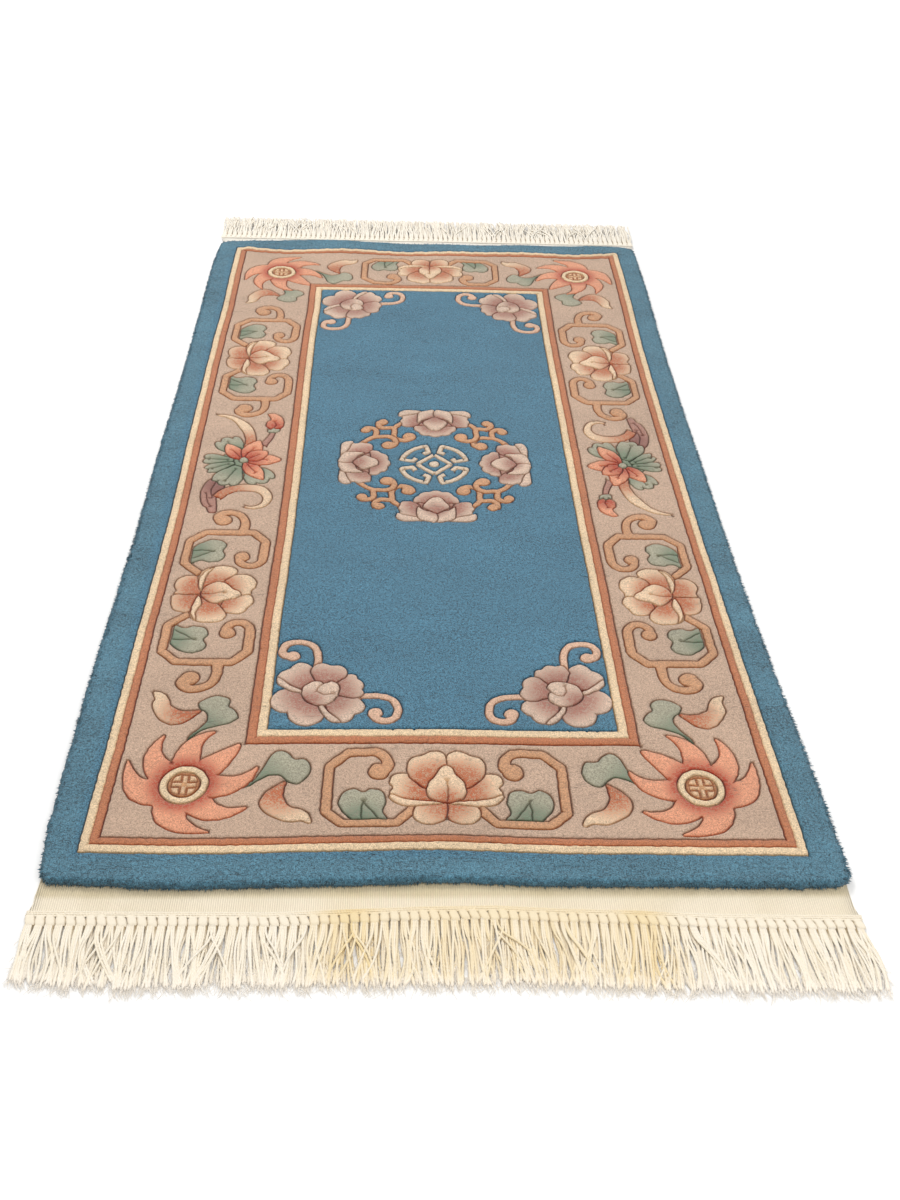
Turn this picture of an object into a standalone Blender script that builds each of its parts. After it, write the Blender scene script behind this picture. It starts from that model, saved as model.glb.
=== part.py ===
"""Hand-knotted wool rug with a carved cut pile, flat-woven ends and a knotted fringe.

Metres, +Z up. The rug lies on z = 0 with its length along Y. Four solids: the woven
cotton ground, the wool pile on it and one knotted fringe at each end.
"""
import bpy
import math
import random

# Ground cloth, with the flat-woven bands that show past the pile at both ends
PILE_WIDTH = 0.910
PILE_LENGTH = 1.714
GROUND_WIDTH = 0.902
END_BAND = 0.031
GROUND_THICKNESS = 0.003
GROUND_EDGE_ROUND = 0.0008
GAP = 0.0003

# Pile
PILE_TOP = 0.0148
RIM_RADIUS = 0.016
LUMP = 0.00035
RIM_LUMP = 0.0012
# Rim profile from the top's border down to the ground: distance outside the border, height
RIM_TOP_INSET = 0.009
RIM_PROFILE = ((0.0055, 0.0143), (0.0082, 0.0122), (0.0090, 0.0085), (0.0055, 0.0033))

# Half widths of the border lines, and the part of each half length past its half width
LINE_BLUE_CREAM = 0.4169
LINE_RUST_BORDER = 0.3945
LINE_BORDER_RUST = 0.2473
LINE_CREAM_FIELD = 0.2224
LINES = (LINE_CREAM_FIELD, LINE_BORDER_RUST, LINE_RUST_BORDER, LINE_BLUE_CREAM)
LONGER_BY = 0.400
GROOVE_HALF_WIDTH = 0.0021
GROOVE_DEPTH = 0.0022

# How the hand-made outline strays from a true rectangle
WAIST = 0.0050
SIDE_BOW = 0.0040
END_WAVE = 0.0035

# Fringe
KNOTS = 74
STRANDS_A_KNOT = 2
HEADER_DEPTH = 0.018
HEADER_BACK = 0.0022
HEADER_CREST = 0.0040
HEADER_FRONT = 0.0026
STRAND_LENGTH = 0.078
STRAND_LENGTH_SPREAD = 0.006
STRAND_ROOT_WIDTH = 0.0034
STRAND_TIP_WIDTH = 0.0020
STRAND_TIP_HEIGHT = 0.0014
STRAND_SPACING = 0.0050
STRAND_STEPS = 3
LEAN = 0.0060
LEAN_WAVE = 0.21
SMALL_LEAN = 0.0028
SMALL_LEAN_WAVE = 0.085
TIP_JITTER = 0.0004

# Colours of the real yarns, as linear values, and roughness
COTTON = (0.76, 0.71, 0.58)
BLUE_WOOL = (0.075, 0.190, 0.320)
FRINGE_COTTON = (0.80, 0.76, 0.66)


def clear_scene():
    for item in list(bpy.data.objects):
        bpy.data.objects.remove(item, do_unlink=True)


def material(name, colour, roughness):
    made = bpy.data.materials.new(name)
    made.use_nodes = True
    shader = made.node_tree.nodes["Principled BSDF"]
    shader.inputs["Base Color"].default_value = (*colour, 1.0)
    shader.inputs["Roughness"].default_value = roughness
    shader.inputs["Metallic"].default_value = 0.0
    return made


def add_object(name, points, faces, made_of):
    mesh = bpy.data.meshes.new(name)
    mesh.from_pydata(points, [], faces)
    mesh.validate()
    mesh.materials.append(made_of)
    thing = bpy.data.objects.new(name, mesh)
    bpy.context.collection.objects.link(thing)
    return thing


def stray(x, y):
    """Where a point of the true rectangle lies on the hand-made rug."""
    half_length = PILE_LENGTH / 2
    along = min(1.0, abs(y) / half_length)
    middle = math.cos(along * math.pi / 2) ** 2
    across = abs(x) / (PILE_WIDTH / 2)
    inner = max(0.0, 1.0 - abs(across - 0.9) / 0.9)
    moved_x = x - math.copysign(WAIST * middle * inner * across, x)
    moved_x -= SIDE_BOW * middle * across ** 2
    moved_x += 0.0012 * math.sin(9.0 * y + 3.0 * x)
    ends = along ** 2
    wave = 0.6 * math.cos(6.5 * x + 0.5) + 0.4 * math.sin(15.0 * x + (1.0 if y > 0 else 2.2))
    return moved_x, y + END_WAVE * ends * wave


def rounded(x, y, half_width, half_length, radius):
    """Rounds the corners of a rectangle's points."""
    u = abs(x) - (half_width - radius)
    v = abs(y) - (half_length - radius)
    if u <= 0 or v <= 0:
        return x, y
    scale = max(u, v) / math.hypot(u, v)
    new_x = half_width - radius + u * scale
    new_y = half_length - radius + v * scale
    return math.copysign(new_x, x), math.copysign(new_y, y)


def lump(x, y):
    """Slow rises and falls of a cut pile, from -1 to 1."""
    return (math.sin(31 * x + 2.1 * math.sin(9 * y)) + math.sin(27 * y + 1.7 * math.sin(13 * x))) / 2


def grid_lines(longer_by, edge, fill):
    """Lines across the pile: its border, three for each groove, and those between them."""
    places = [edge]
    for line in LINES:
        for side in (-GROOVE_HALF_WIDTH, 0.0, GROOVE_HALF_WIDTH):
            places.append(line + longer_by + side)
    places += fill
    both = [place for place in places] + [-place for place in places] + [0.0]
    return sorted(both)


def build_pile(made_of):
    border_x = PILE_WIDTH / 2 - RIM_TOP_INSET
    border_y = PILE_LENGTH / 2 - RIM_TOP_INSET
    lines_x = grid_lines(0.0, border_x, [0.11, 0.32])
    lines_y = grid_lines(LONGER_BY, border_y, [0.12, 0.24, 0.36, 0.49, 0.72])
    count_x = len(lines_x)
    count_y = len(lines_y)
    points = []
    for y in lines_y:
        for x in lines_x:
            distance = max(abs(x), abs(y) - LONGER_BY)
            cut = any(abs(distance - line) < 1e-6 for line in LINES)
            height = PILE_TOP + LUMP * lump(x, y) - (GROOVE_DEPTH if cut else 0.0)
            round_x, round_y = rounded(x, y, border_x, border_y, RIM_RADIUS - RIM_TOP_INSET)
            points.append((*stray(round_x, round_y), height))
    faces = []
    for j in range(count_y - 1):
        for i in range(count_x - 1):
            corner = j * count_x + i
            faces.append((corner, corner + 1, corner + 1 + count_x, corner + count_x))
    around = [(i, 0) for i in range(count_x - 1)]
    around += [(count_x - 1, j) for j in range(count_y - 1)]
    around += [(i, count_y - 1) for i in range(count_x - 1, 0, -1)]
    around += [(0, j) for j in range(count_y - 1, 0, -1)]
    ring = [j * count_x + i for i, j in around]
    for step, (outside, height) in enumerate(RIM_PROFILE):
        half_x = border_x + outside
        half_y = border_y + outside
        lower = []
        for i, j in around:
            x = lines_x[i] * half_x / border_x
            y = lines_y[j] * half_y / border_y
            round_x, round_y = rounded(x, y, half_x, half_y, RIM_RADIUS - RIM_TOP_INSET + outside)
            moved_x, moved_y = stray(round_x, round_y)
            bulge = 1.0 + (RIM_LUMP * math.sin(70 * (x + y)) / half_x if 0 < step < 3 else 0.0)
            lower.append(len(points))
            points.append((moved_x * bulge, moved_y, height))
        for k in range(len(ring)):
            after = (k + 1) % len(ring)
            faces.append((ring[k], lower[k], lower[after], ring[after]))
        ring = lower
    faces.append(tuple(reversed(ring)))
    return add_object("pile", points, faces, made_of)


def build_ground(made_of):
    half_width = GROUND_WIDTH / 2
    half_length = PILE_LENGTH / 2 + END_BAND
    steps = 24
    outline = []
    for k in range(steps + 1):
        y = -half_length + 2 * half_length * k / steps
        outline.append((half_width, y))
    outline += [(-x, -y) for x, y in outline]
    points = []
    rings = []
    profile = (
        (0.0, 0.0),
        (0.0, GROUND_THICKNESS - GROUND_EDGE_ROUND),
        (GROUND_EDGE_ROUND, GROUND_THICKNESS),
    )
    for inset, height in profile:
        rings.append(range(len(points), len(points) + len(outline)))
        for x, y in outline:
            in_x = x * (half_width - inset) / half_width
            in_y = y * (half_length - inset) / half_length
            moved_x = stray(in_x, in_y)[0]
            points.append((moved_x, in_y, height))
    faces = [tuple(reversed(rings[0])), tuple(rings[-1])]
    for low, high in zip(rings, rings[1:]):
        for k in range(len(outline)):
            after = (k + 1) % len(outline)
            faces.append((low[k], low[after], high[after], high[k]))
    return add_object("foundation", points, faces, made_of)


def lean(x, along, end):
    """Sideways drift of the fringe, shared by neighbours so that strands never cross."""
    slow = LEAN * math.sin(2 * math.pi * x / LEAN_WAVE + 1.3 * end)
    quick = SMALL_LEAN * math.sin(2 * math.pi * x / SMALL_LEAN_WAVE + 2.0 * end)
    return (slow + quick) * along ** 1.3


def build_fringe(name, end, made_of):
    """A strip of knots with strands that grow out of its front, flat on the floor."""
    rng = random.Random(31 + end)
    pitch = GROUND_WIDTH / KNOTS
    half_width = STRAND_ROOT_WIDTH / 2
    columns = [-GROUND_WIDTH / 2]
    centres = []
    for knot in range(KNOTS):
        middle = -GROUND_WIDTH / 2 + pitch * (knot + 0.5)
        for strand in range(STRANDS_A_KNOT):
            centre = middle + (strand - (STRANDS_A_KNOT - 1) / 2) * STRAND_SPACING
            centres.append(centre)
            columns += [centre - half_width, centre + half_width]
    columns.append(GROUND_WIDTH / 2)
    start = PILE_LENGTH / 2 + END_BAND + GAP
    # Across the strip from the cloth outwards: distance, height, and how much the knots swell it
    rows = (
        (0.0, 0.0, 0.0),
        (0.0, HEADER_BACK, 0.0),
        (HEADER_DEPTH * 0.42, HEADER_CREST - 0.0007, 0.0007),
        (HEADER_DEPTH * 0.72, HEADER_CREST - 0.0006, 0.0006),
        (HEADER_DEPTH, HEADER_FRONT, 0.0),
        (HEADER_DEPTH, 0.0, 0.0),
    )
    points = []
    for out, height, swell in rows:
        for x in columns:
            wave = math.cos(2 * math.pi * (x + GROUND_WIDTH / 2) / pitch)
            points.append((x, start + out, height - swell * wave))
    count = len(columns)
    faces = []
    last = len(rows) - 1
    for row in range(last - 1):
        for i in range(count - 1):
            corner = row * count + i
            faces.append((corner, corner + 1, corner + 1 + count, corner + count))
    front_top = (last - 1) * count
    front_low = last * count
    strand_columns = {2 * k + 1: centre for k, centre in enumerate(centres)}
    for i in range(count - 1):
        root = (front_top + i, front_top + i + 1, front_low + i + 1, front_low + i)
        if i not in strand_columns:
            faces.append(root)
            continue
        centre = strand_columns[i]
        length = STRAND_LENGTH + rng.uniform(-1, 1) * STRAND_LENGTH_SPREAD
        jitter = rng.uniform(-1, 1) * TIP_JITTER
        ring = root
        for step in range(1, STRAND_STEPS + 1):
            along = step / STRAND_STEPS
            half = half_width + (STRAND_TIP_WIDTH / 2 - half_width) * along
            high = HEADER_FRONT + (STRAND_TIP_HEIGHT - HEADER_FRONT) * along
            x = centre + lean(centre, along, end) + jitter * along
            y = start + HEADER_DEPTH + length * along
            base = len(points)
            points += [(x - half, y, high), (x + half, y, high), (x + half, y, 0.0), (x - half, y, 0.0)]
            tip = tuple(range(base, base + 4))
            for k in range(4):
                after = (k + 1) % 4
                faces.append((ring[k], ring[after], tip[after], tip[k]))
            ring = tip
        faces.append(ring)
    faces.append(tuple(row * count for row in range(last + 1)))
    faces.append(tuple(row * count + count - 1 for row in range(last, -1, -1)))
    faces.append(tuple(range(count)) [::-1] + tuple(range(front_low, front_low + count)))
    if end < 0:
        points = [(-x, -y, z) for x, y, z in points]
    return add_object(name, points, faces, made_of)


def main():
    clear_scene()
    build_ground(material("ground_cotton", COTTON, 0.92))
    build_pile(material("pile_wool", BLUE_WOOL, 0.95))
    build_fringe("fringe_front", -1, material("front_fringe_cotton", FRINGE_COTTON, 0.92))
    build_fringe("fringe_back", 1, material("back_fringe_cotton", FRINGE_COTTON, 0.92))


main()
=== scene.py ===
import math
import random

import bpy
import numpy as np
from mathutils import Matrix, Vector, kdtree
from mathutils.geometry import delaunay_2d_cdt


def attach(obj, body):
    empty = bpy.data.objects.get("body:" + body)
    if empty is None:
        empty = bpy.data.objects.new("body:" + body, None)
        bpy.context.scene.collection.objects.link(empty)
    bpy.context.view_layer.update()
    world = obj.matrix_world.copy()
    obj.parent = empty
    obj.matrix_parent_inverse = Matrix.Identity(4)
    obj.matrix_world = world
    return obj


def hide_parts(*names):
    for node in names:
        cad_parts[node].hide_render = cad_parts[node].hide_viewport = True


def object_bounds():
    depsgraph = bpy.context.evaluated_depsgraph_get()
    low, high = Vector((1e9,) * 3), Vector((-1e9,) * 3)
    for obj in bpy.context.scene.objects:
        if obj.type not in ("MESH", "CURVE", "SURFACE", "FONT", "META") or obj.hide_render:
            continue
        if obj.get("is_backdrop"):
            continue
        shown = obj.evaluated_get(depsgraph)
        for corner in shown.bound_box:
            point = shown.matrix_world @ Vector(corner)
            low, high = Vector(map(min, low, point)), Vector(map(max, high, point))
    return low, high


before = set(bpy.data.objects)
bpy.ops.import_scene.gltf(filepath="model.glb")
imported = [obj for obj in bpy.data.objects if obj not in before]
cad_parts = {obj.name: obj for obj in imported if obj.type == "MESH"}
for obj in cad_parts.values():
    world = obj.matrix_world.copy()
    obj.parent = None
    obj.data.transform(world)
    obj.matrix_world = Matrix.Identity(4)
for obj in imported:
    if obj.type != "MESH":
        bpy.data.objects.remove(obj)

bl_info = {
    "name": "Carved pile rug",
    "version": (1, 0, 0),
    "blender": (4, 5, 0),
    "location": "3D View > Sidebar > Rug",
    "description": "Builds a hand-knotted wool rug with carved motifs, flat-woven ends and a knotted fringe",
    "category": "Add Mesh",
}

SIZE_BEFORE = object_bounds()
MM = 0.001

# Sizes shared with the solids, in metres
PILE_WIDTH = 0.910
PILE_LENGTH = 1.714
GROUND_WIDTH = 0.902
END_BAND = 0.031
GROUND_THICKNESS = 0.003
PILE_TOP = 0.0148
RIM_TOP_INSET = 0.009
RIM_RADIUS = 0.016
LONGER_BY = 0.400
WAIST = 0.0050
SIDE_BOW = 0.0040
END_WAVE = 0.0035
MIDDLE_SHIFT = 0.013
GROOVE_FLOOR = 0.0004
BACK_LIFT = 0.0048
# Half the width and length of the pile's flat top, inside its rounded edge
TOP_HALF_WIDTH = PILE_WIDTH / 2 - RIM_TOP_INSET
TOP_HALF_LENGTH = PILE_LENGTH / 2 - RIM_TOP_INSET
# The lowest that a yarn's surface may lie
YARN_FLOOR = 0.0002

# Rings of the pattern from the outside in: half width, yarn, depth of the cut along its edge
RINGS = (
    (0.4169, "cream", 1.0),
    (0.4055, "rust", 0.45),
    (0.3945, "border", 1.0),
    (0.2473, "rust", 1.0),
    (0.2349, "cream", 0.45),
    (0.2224, "blue", 1.0),
)

# How far lines stray from their true place, in metres: (place, distance) pairs.
# Both long borders, along their length
LEFT_BORDER = ((-0.78, -0.003), (-0.66, -0.0005), (-0.42, -0.002), (-0.30, 0.0005), (-0.18, 0.003), (-0.06, 0.003))
LEFT_BORDER += ((0.06, 0.001), (0.18, -0.001), (0.30, -0.0025), (0.42, -0.002), (0.54, 0.0015), (0.78, -0.001))
RIGHT_BORDER = ((-0.78, 0.002), (-0.66, -0.001), (-0.54, -0.001), (-0.42, 0.0), (-0.30, 0.0015), (-0.18, 0.0))
RIGHT_BORDER += ((-0.06, -0.001), (0.06, -0.0025), (0.42, -0.002), (0.54, -0.0015), (0.78, -0.001))
# The outer stripes of both ends, across the rug
FRONT_STRIPES = ((-0.45, 0.005), (-0.22, 0.0035), (0.0, 0.006), (0.15, 0.004), (0.25, 0.003), (0.42, 0.0))
BACK_STRIPES = ((-0.42, -0.003), (-0.39, 0.006), (-0.365, 0.0), (-0.31, -0.004), (-0.24, 0.002), (-0.18, 0.006))
BACK_STRIPES += ((-0.13, 0.004), (-0.05, -0.007), (0.0, -0.005), (0.056, 0.003), (0.16, 0.007), (0.27, 0.007))
BACK_STRIPES += ((0.32, 0.004), (0.37, 0.007), (0.41, 0.012))
# The pile's edge at both ends, and how much longer the pile is at the back
FRONT_EDGE = ((-0.455, 0.007), (-0.40, 0.004), (-0.33, 0.001), (-0.2, 0.0), (-0.03, 0.0035), (0.1, 0.004))
FRONT_EDGE += ((0.2, 0.0026), (0.3, 0.003), (0.4, -0.001), (0.455, 0.003))
BACK_EDGE = ((-0.455, -0.006), (-0.40, -0.003), (-0.365, 0.0), (-0.30, 0.008), (-0.26, 0.009), (-0.18, 0.007))
BACK_EDGE += ((-0.10, 0.005), (-0.02, -0.004), (0.056, 0.0), (0.16, 0.003), (0.267, 0.006), (0.346, 0.009))
BACK_EDGE += ((0.425, 0.004), (0.455, -0.002))
# The cloth's front end with its knots, and where its fringe ends
FRONT_KNOTS = ((-0.46, 0.0), (-0.40, -0.001), (-0.2, -0.003), (-0.1, 0.0014), (-0.04, 0.0044), (0.05, 0.0059))
FRONT_KNOTS += ((0.12, 0.0017), (0.2, -0.001), (0.3, -0.0066), (0.4, -0.008), (0.46, -0.008))
FRONT_TIPS = ((-0.46, 0.972), (-0.40, 0.979), (-0.35, 0.982), (-0.25, 0.980), (0.1, 0.979), (0.2, 0.984))
FRONT_TIPS += ((0.25, 0.988), (0.46, 0.989))


# Settings


def length(name, description, default):
    return bpy.props.FloatProperty(
        name=name, description=description, default=default, subtype="DISTANCE", unit="LENGTH"
    )


def number(name, description, default):
    return bpy.props.IntProperty(name=name, description=description, default=default, min=1)


def shade_of(name, description, code):
    return bpy.props.FloatVectorProperty(
        name=name,
        description=description,
        default=linear(code),
        size=3,
        subtype="COLOR",
        min=0.0,
        max=1.0,
    )


def linear(code):
    """Linear values of an sRGB colour written as six hex digits."""
    values = []
    for k in (0, 2, 4):
        v = int(code[k : k + 2], 16) / 255
        values.append(v / 12.92 if v <= 0.04045 else ((v + 0.055) / 1.055) ** 2.4)
    return tuple(values)


class RugSizes(bpy.types.PropertyGroup):
    groove_depth: length("Groove depth", "Depth of the cut round each motif", 0.0040)
    groove_width: length("Groove width", "Half width of the cut's rounded shoulder", 0.0015)
    outline_step: length("Outline step", "Spacing of points along a motif's edge", 0.0030)
    stripe_step: length("Stripe step", "Spacing of points along a stripe's edge", 0.0045)
    fill_step: length("Fill step", "Spacing of points inside a plain area", 0.0054)
    tuft_width: length("Tuft width", "Width of a group of cut tufts", 0.0016)
    rim_tufts: number("Rim tufts", "Loose tufts that stand out of the pile's edge", 11000)
    rim_tuft_length: length("Rim tuft length", "Length of a loose tuft at the edge", 0.0052)
    knots: number("Knots", "Knots of the fringe at each end", 84)
    knot_depth: length("Knot depth", "Length of a knot from the cloth outwards", 0.0125)
    header_width: length("Header width", "Width of the row of knots", 0.921)
    yarn_radius: length("Yarn radius", "Radius of a twisted cotton yarn", 0.00165)
    yarn_twist: length("Yarn twist", "Length of one turn of the yarn's plies", 0.040)
    fray_length: length("Fray length", "Length of the untwisted part at a yarn's end", 0.014)
    warp_pitch: length("Warp pitch", "Distance between two warps of the woven ends", 0.0025)


class RugColours(bpy.types.PropertyGroup):
    blue: shade_of("Blue", "Blue wool", "4B7B93")
    blue_dark: shade_of("Blue, deep", "Shaded blue wool", "3A6480")
    blue_outer: shade_of("Blue, faded", "Lighter, greyer blue wool of the outer stripe", "4F7A8D")
    cream: shade_of("Cream", "Cream wool", "E4C9A5")
    cream_dark: shade_of("Cream, deep", "Shaded cream wool", "D8BE88")
    rust: shade_of("Rust", "Rust wool", "B97652")
    rust_dark: shade_of("Rust, deep", "Shaded rust wool", "A2583F")
    border: shade_of("Border", "Pinkish grey wool of the border", "C0A38D")
    border_dark: shade_of("Border, deep", "Shaded wool of the border", "AF9182")
    disc: shade_of("Disc", "Beige wool of the flower's disc", "DFBA96")
    disc_dark: shade_of("Disc, deep", "Shaded wool of the disc", "B98B60")
    brown: shade_of("Brown", "Brown wool between the bars of the disc", "B47D55")
    brown_dark: shade_of("Brown, deep", "Shaded brown wool", "94603F")
    peach: shade_of("Peach", "Peach wool", "E1C3A3")
    peach_dark: shade_of("Peach, deep", "Brown-orange shading of the peach petals", "B16340")
    tendril: shade_of("Tendril", "Pale peach wool of the tendrils", "D8B197")
    tendril_dark: shade_of("Tendril, deep", "Shaded wool of the tendrils", "C79478")
    coral: shade_of("Coral", "Coral wool", "DD9A79")
    coral_dark: shade_of("Coral, deep", "Red shading of the coral petals", "AB442E")
    sage: shade_of("Sage", "Grey-green wool", "A5A08B")
    sage_dark: shade_of("Sage, deep", "Shading of the leaves", "74826C")
    mauve: shade_of("Mauve", "Mauve-brown wool", "AC7F70")
    mauve_dark: shade_of("Mauve, deep", "Shading of the mauve wool", "85574F")
    pink: shade_of("Pink", "Dusty pink wool", "D1B6A2")
    pink_dark: shade_of("Pink, deep", "Shading of the pink petals", "9D695B")
    fret: shade_of("Fret", "Greyish pink wool of the middle ornament", "D8C3AC")
    fret_dark: shade_of("Fret, deep", "Shaded wool of the middle ornament", "B89484")
    tan: shade_of("Tan", "Orange-tan wool of the scrolls", "C69570")
    tan_dark: shade_of("Tan, deep", "Shading of the scrolls", "B07050")
    cotton: shade_of("Cotton", "Cotton of the woven ends", "F5E8D0")
    cotton_dark: shade_of("Cotton, shaded", "Cotton in the shade of the pile", "D8C8A4")
    yarn: shade_of("Yarn", "Cotton of the fringe", "F7F2E9")
    yarn_stain: shade_of("Yarn, stained", "Yellowed cotton of the fringe", "ECD6A6")
    painted_shade: shade_of("Soiled", "Painted shade on the cotton between the locks and the knots", "A08A66")
    fray: shade_of("Fray", "Untwisted cotton at the yarns' ends", "F4ECE2")


# Where points go


def looked_up(table, at):
    """The value of a table of pairs at a place."""
    return np.interp(at, *zip(*table))


def stray(x, y):
    """Where points of the true rectangle lie on the hand-made rug."""
    half_length = PILE_LENGTH / 2
    along = np.minimum(1.0, np.abs(y) / half_length)
    middle = np.cos(along * np.pi / 2) ** 2
    across = np.abs(x) / (PILE_WIDTH / 2)
    inner = np.maximum(0.0, 1.0 - np.abs(across - 0.9) / 0.9)
    moved_x = x - np.sign(x) * WAIST * middle * inner * across
    moved_x = moved_x - SIDE_BOW * middle * across**2
    moved_x = moved_x + 0.0012 * np.sin(9.0 * y + 3.0 * x)
    moved_x = moved_x + 0.0004 * np.sin(260 * y + 4 * np.sin(70 * y + 30 * x))
    wave = 0.6 * np.cos(6.5 * x + 0.5) + 0.4 * np.sin(15.0 * x + np.where(y > 0, 1.0, 2.2))
    shift = MIDDLE_SHIFT * np.cos(np.minimum(1.0, np.abs(y) / 0.75) * np.pi / 2) ** 2
    tremble = 0.0004 * np.sin(240 * x + 4 * np.sin(64 * x + 36 * y))
    ripple = np.where(y > 0, 0.0026, 0.0008) * along**8 * np.sin(31 * x + 1.4)
    moved_y = y + END_WAVE * along**2 * wave - shift + tremble + ripple
    side = np.where(x < 0, looked_up(LEFT_BORDER, y), looked_up(RIGHT_BORDER, y))
    moved_x = moved_x + side * np.interp(np.abs(x), (0.08, 0.22, 0.41, 0.455), (0, 1, 1, 0.2))
    near_stripes = np.exp(-(((np.abs(y) - 0.81) / 0.03) ** 2))
    jagged = 0.0011 * np.sin(190 * x) + 0.0008 * np.sin(430 * x + 2)
    stripes = np.where(y < 0, looked_up(FRONT_STRIPES, x), looked_up(BACK_STRIPES, x) + jagged)
    moved_y = moved_y + near_stripes * stripes
    near_edge = np.exp(-(((np.abs(y) - half_length) / 0.02) ** 2))
    moved_y = moved_y + near_edge * np.where(y < 0, looked_up(FRONT_EDGE, x), looked_up(BACK_EDGE, x))
    return moved_x, moved_y + 0.003 * np.exp(-(((y + 0.625) / 0.06) ** 2))


def rounded(x, y, half_width, half_length, radius):
    """Rounds the corners of a rectangle's points."""
    u = abs(x) - (half_width - radius)
    v = abs(y) - (half_length - radius)
    if u <= 0 or v <= 0:
        return x, y
    scale = max(u, v) / math.hypot(u, v)
    return (
        math.copysign(half_width - radius + u * scale, x),
        math.copysign(half_length - radius + v * scale, y),
    )


def lump(x, y):
    """Slow rises and falls of a cut pile, from -1 to 1."""
    slow = np.sin(31 * x + 2.1 * np.sin(9 * y)) + np.sin(27 * y + 1.7 * np.sin(13 * x))
    quick = np.sin(140 * x + 3 * np.sin(60 * y)) * np.sin(120 * y + 2.5 * np.sin(50 * x))
    return slow / 2 + 0.5 * quick


# Outlines of the motifs, in millimetres round the motif's own middle


def spline(points, step=3.0, closed=True):
    """A smooth line through the points, with even steps."""
    points = [Vector(p) for p in points]
    count = len(points)
    dense = []
    spans = count if closed else count - 1
    for k in range(spans):
        if closed:
            p = [points[(k + s) % count] for s in (-1, 0, 1, 2)]
        else:
            p = [points[min(max(k + s, 0), count - 1)] for s in (-1, 0, 1, 2)]
        for s in range(12):
            t = s / 12
            dense.append(
                0.5
                * (
                    2 * p[1]
                    + (p[2] - p[0]) * t
                    + (2 * p[0] - 5 * p[1] + 4 * p[2] - p[3]) * t * t
                    + (3 * p[1] - 3 * p[2] + p[3] - p[0]) * t**3
                )
            )
    dense.append(points[0] if closed else points[-1])
    return even(dense, step, closed)


def even(points, step=3.0, closed=True):
    """The same line with points at even steps."""
    points = np.array([tuple(p) for p in points], float)
    if closed and np.abs(points[0] - points[-1]).max() > 1e-9:
        points = np.vstack([points, points[:1]])
    lengths = np.r_[0, np.cumsum(np.hypot(*np.diff(points, axis=0).T))]
    count = max(3, int(round(lengths[-1] / step)))
    at = np.linspace(0, lengths[-1], count + 1)
    made = np.stack([np.interp(at, lengths, points[:, k]) for k in (0, 1)], 1)
    return made[:-1] if closed else made


def polygon(corners, step=3.0):
    """Straight sides between the corners, which are kept, with points at about even steps."""
    made = []
    for a, b in zip(corners, corners[1:] + corners[:1]):
        a, b = np.array(a, float), np.array(b, float)
        count = max(1, int(round(np.hypot(*(b - a)) / step)))
        made += [a + (b - a) * k / count for k in range(count)]
    return np.array(made)


def band(line, half):
    """The outline of a band round a line, from its half widths."""
    ahead = np.gradient(line, axis=0)
    ahead /= np.hypot(*ahead.T)[:, None]
    aside = np.stack([-ahead[:, 1], ahead[:, 0]], 1) * half[:, None]
    return np.vstack([line + aside, (line - aside)[::-1]])


def ribbon(path, widths, bulb=0.0, smooth=True):
    """A band along a path. widths are its widths at the start, the middle and the end."""
    line = spline(path, 2.6, closed=False) if smooth else even(path, 2.6, closed=False)
    outline = band(line, np.interp(np.linspace(0, 1, len(line)), (0, 0.5, 1), widths) / 2)
    return [outline, disc(bulb, tuple(line[-1]))] if bulb else [outline]


def polar(radius, angle, centre=(0, 0)):
    """The point at a distance from the centre, in a direction in degrees."""
    return centre[0] + radius * math.cos(math.radians(angle)), centre[1] + radius * math.sin(math.radians(angle))


def arc(centre, radius, first, last):
    """Points along an arc from one direction to another."""
    count = max(3, int(abs(last - first) / 10))
    return [polar(radius, first + (last - first) * k / count, centre) for k in range(count + 1)]


def disc(radius, centre=(0, 0)):
    """A round outline."""
    count = max(10, int(2 * math.pi * radius / 2.6))
    at = np.arange(count) * 2 * math.pi / count
    return np.stack([centre[0] + radius * np.cos(at), centre[1] + radius * np.sin(at)], 1)


def petal(angle, spread, reach, lobes=1, root=0.25, dent=0.09, square=0.26):
    """A petal round the flower's middle: its direction, half its spread and its reach."""
    t = np.linspace(-1, 1, max(14, int(spread * reach / 45)))
    scallop = np.abs(np.sin(lobes * math.pi * (t + 1) / 2)) ** 0.6
    r = reach * (1 - square * np.abs(t) ** 3.5) * (1 - dent * (1 - scallop))
    a = np.radians(angle + spread * t)
    rim = np.stack([r * np.cos(a), r * np.sin(a)], 1)
    inner = np.radians(np.array([angle + 0.8 * spread, angle - 0.8 * spread]))
    base = reach * root * np.stack([np.cos(inner), np.sin(inner)], 1)
    return even(np.vstack([rim, base]), 2.8)


def horn(root_angle, root_radius, root_width, tip_angle, reach):
    """A pointed petal that leaves the flower's body one way and bends to its tip."""
    root, tip = math.radians(root_angle), math.radians(tip_angle)
    start = Vector((math.cos(root), math.sin(root))) * root_radius
    end = Vector((math.cos(tip), math.sin(tip))) * reach
    bend = Vector((math.cos(root), math.sin(root))) * (reach * 0.80)
    line = []
    for k in range(13):
        t = k / 12
        line.append(tuple(start * (1 - t) ** 2 + bend * 2 * t * (1 - t) + end * t * t))
    t = np.linspace(0, 1, 13)
    return even(band(np.array(line), root_width / 2 * (1 - t**1.25) + 1.5), 2.8)


class Patch:
    """One area of the pattern: its outline, yarn, group, rise and shading."""

    def __init__(self, outline, yarn, group=None, rise=0.0, shade=None, edge=1.0, test=None):
        self.outline = outline
        self.yarn = yarn
        self.group = group
        self.rise = rise
        self.shade = shade
        self.edge = edge
        self.test = test
        self.cuts = []


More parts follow.
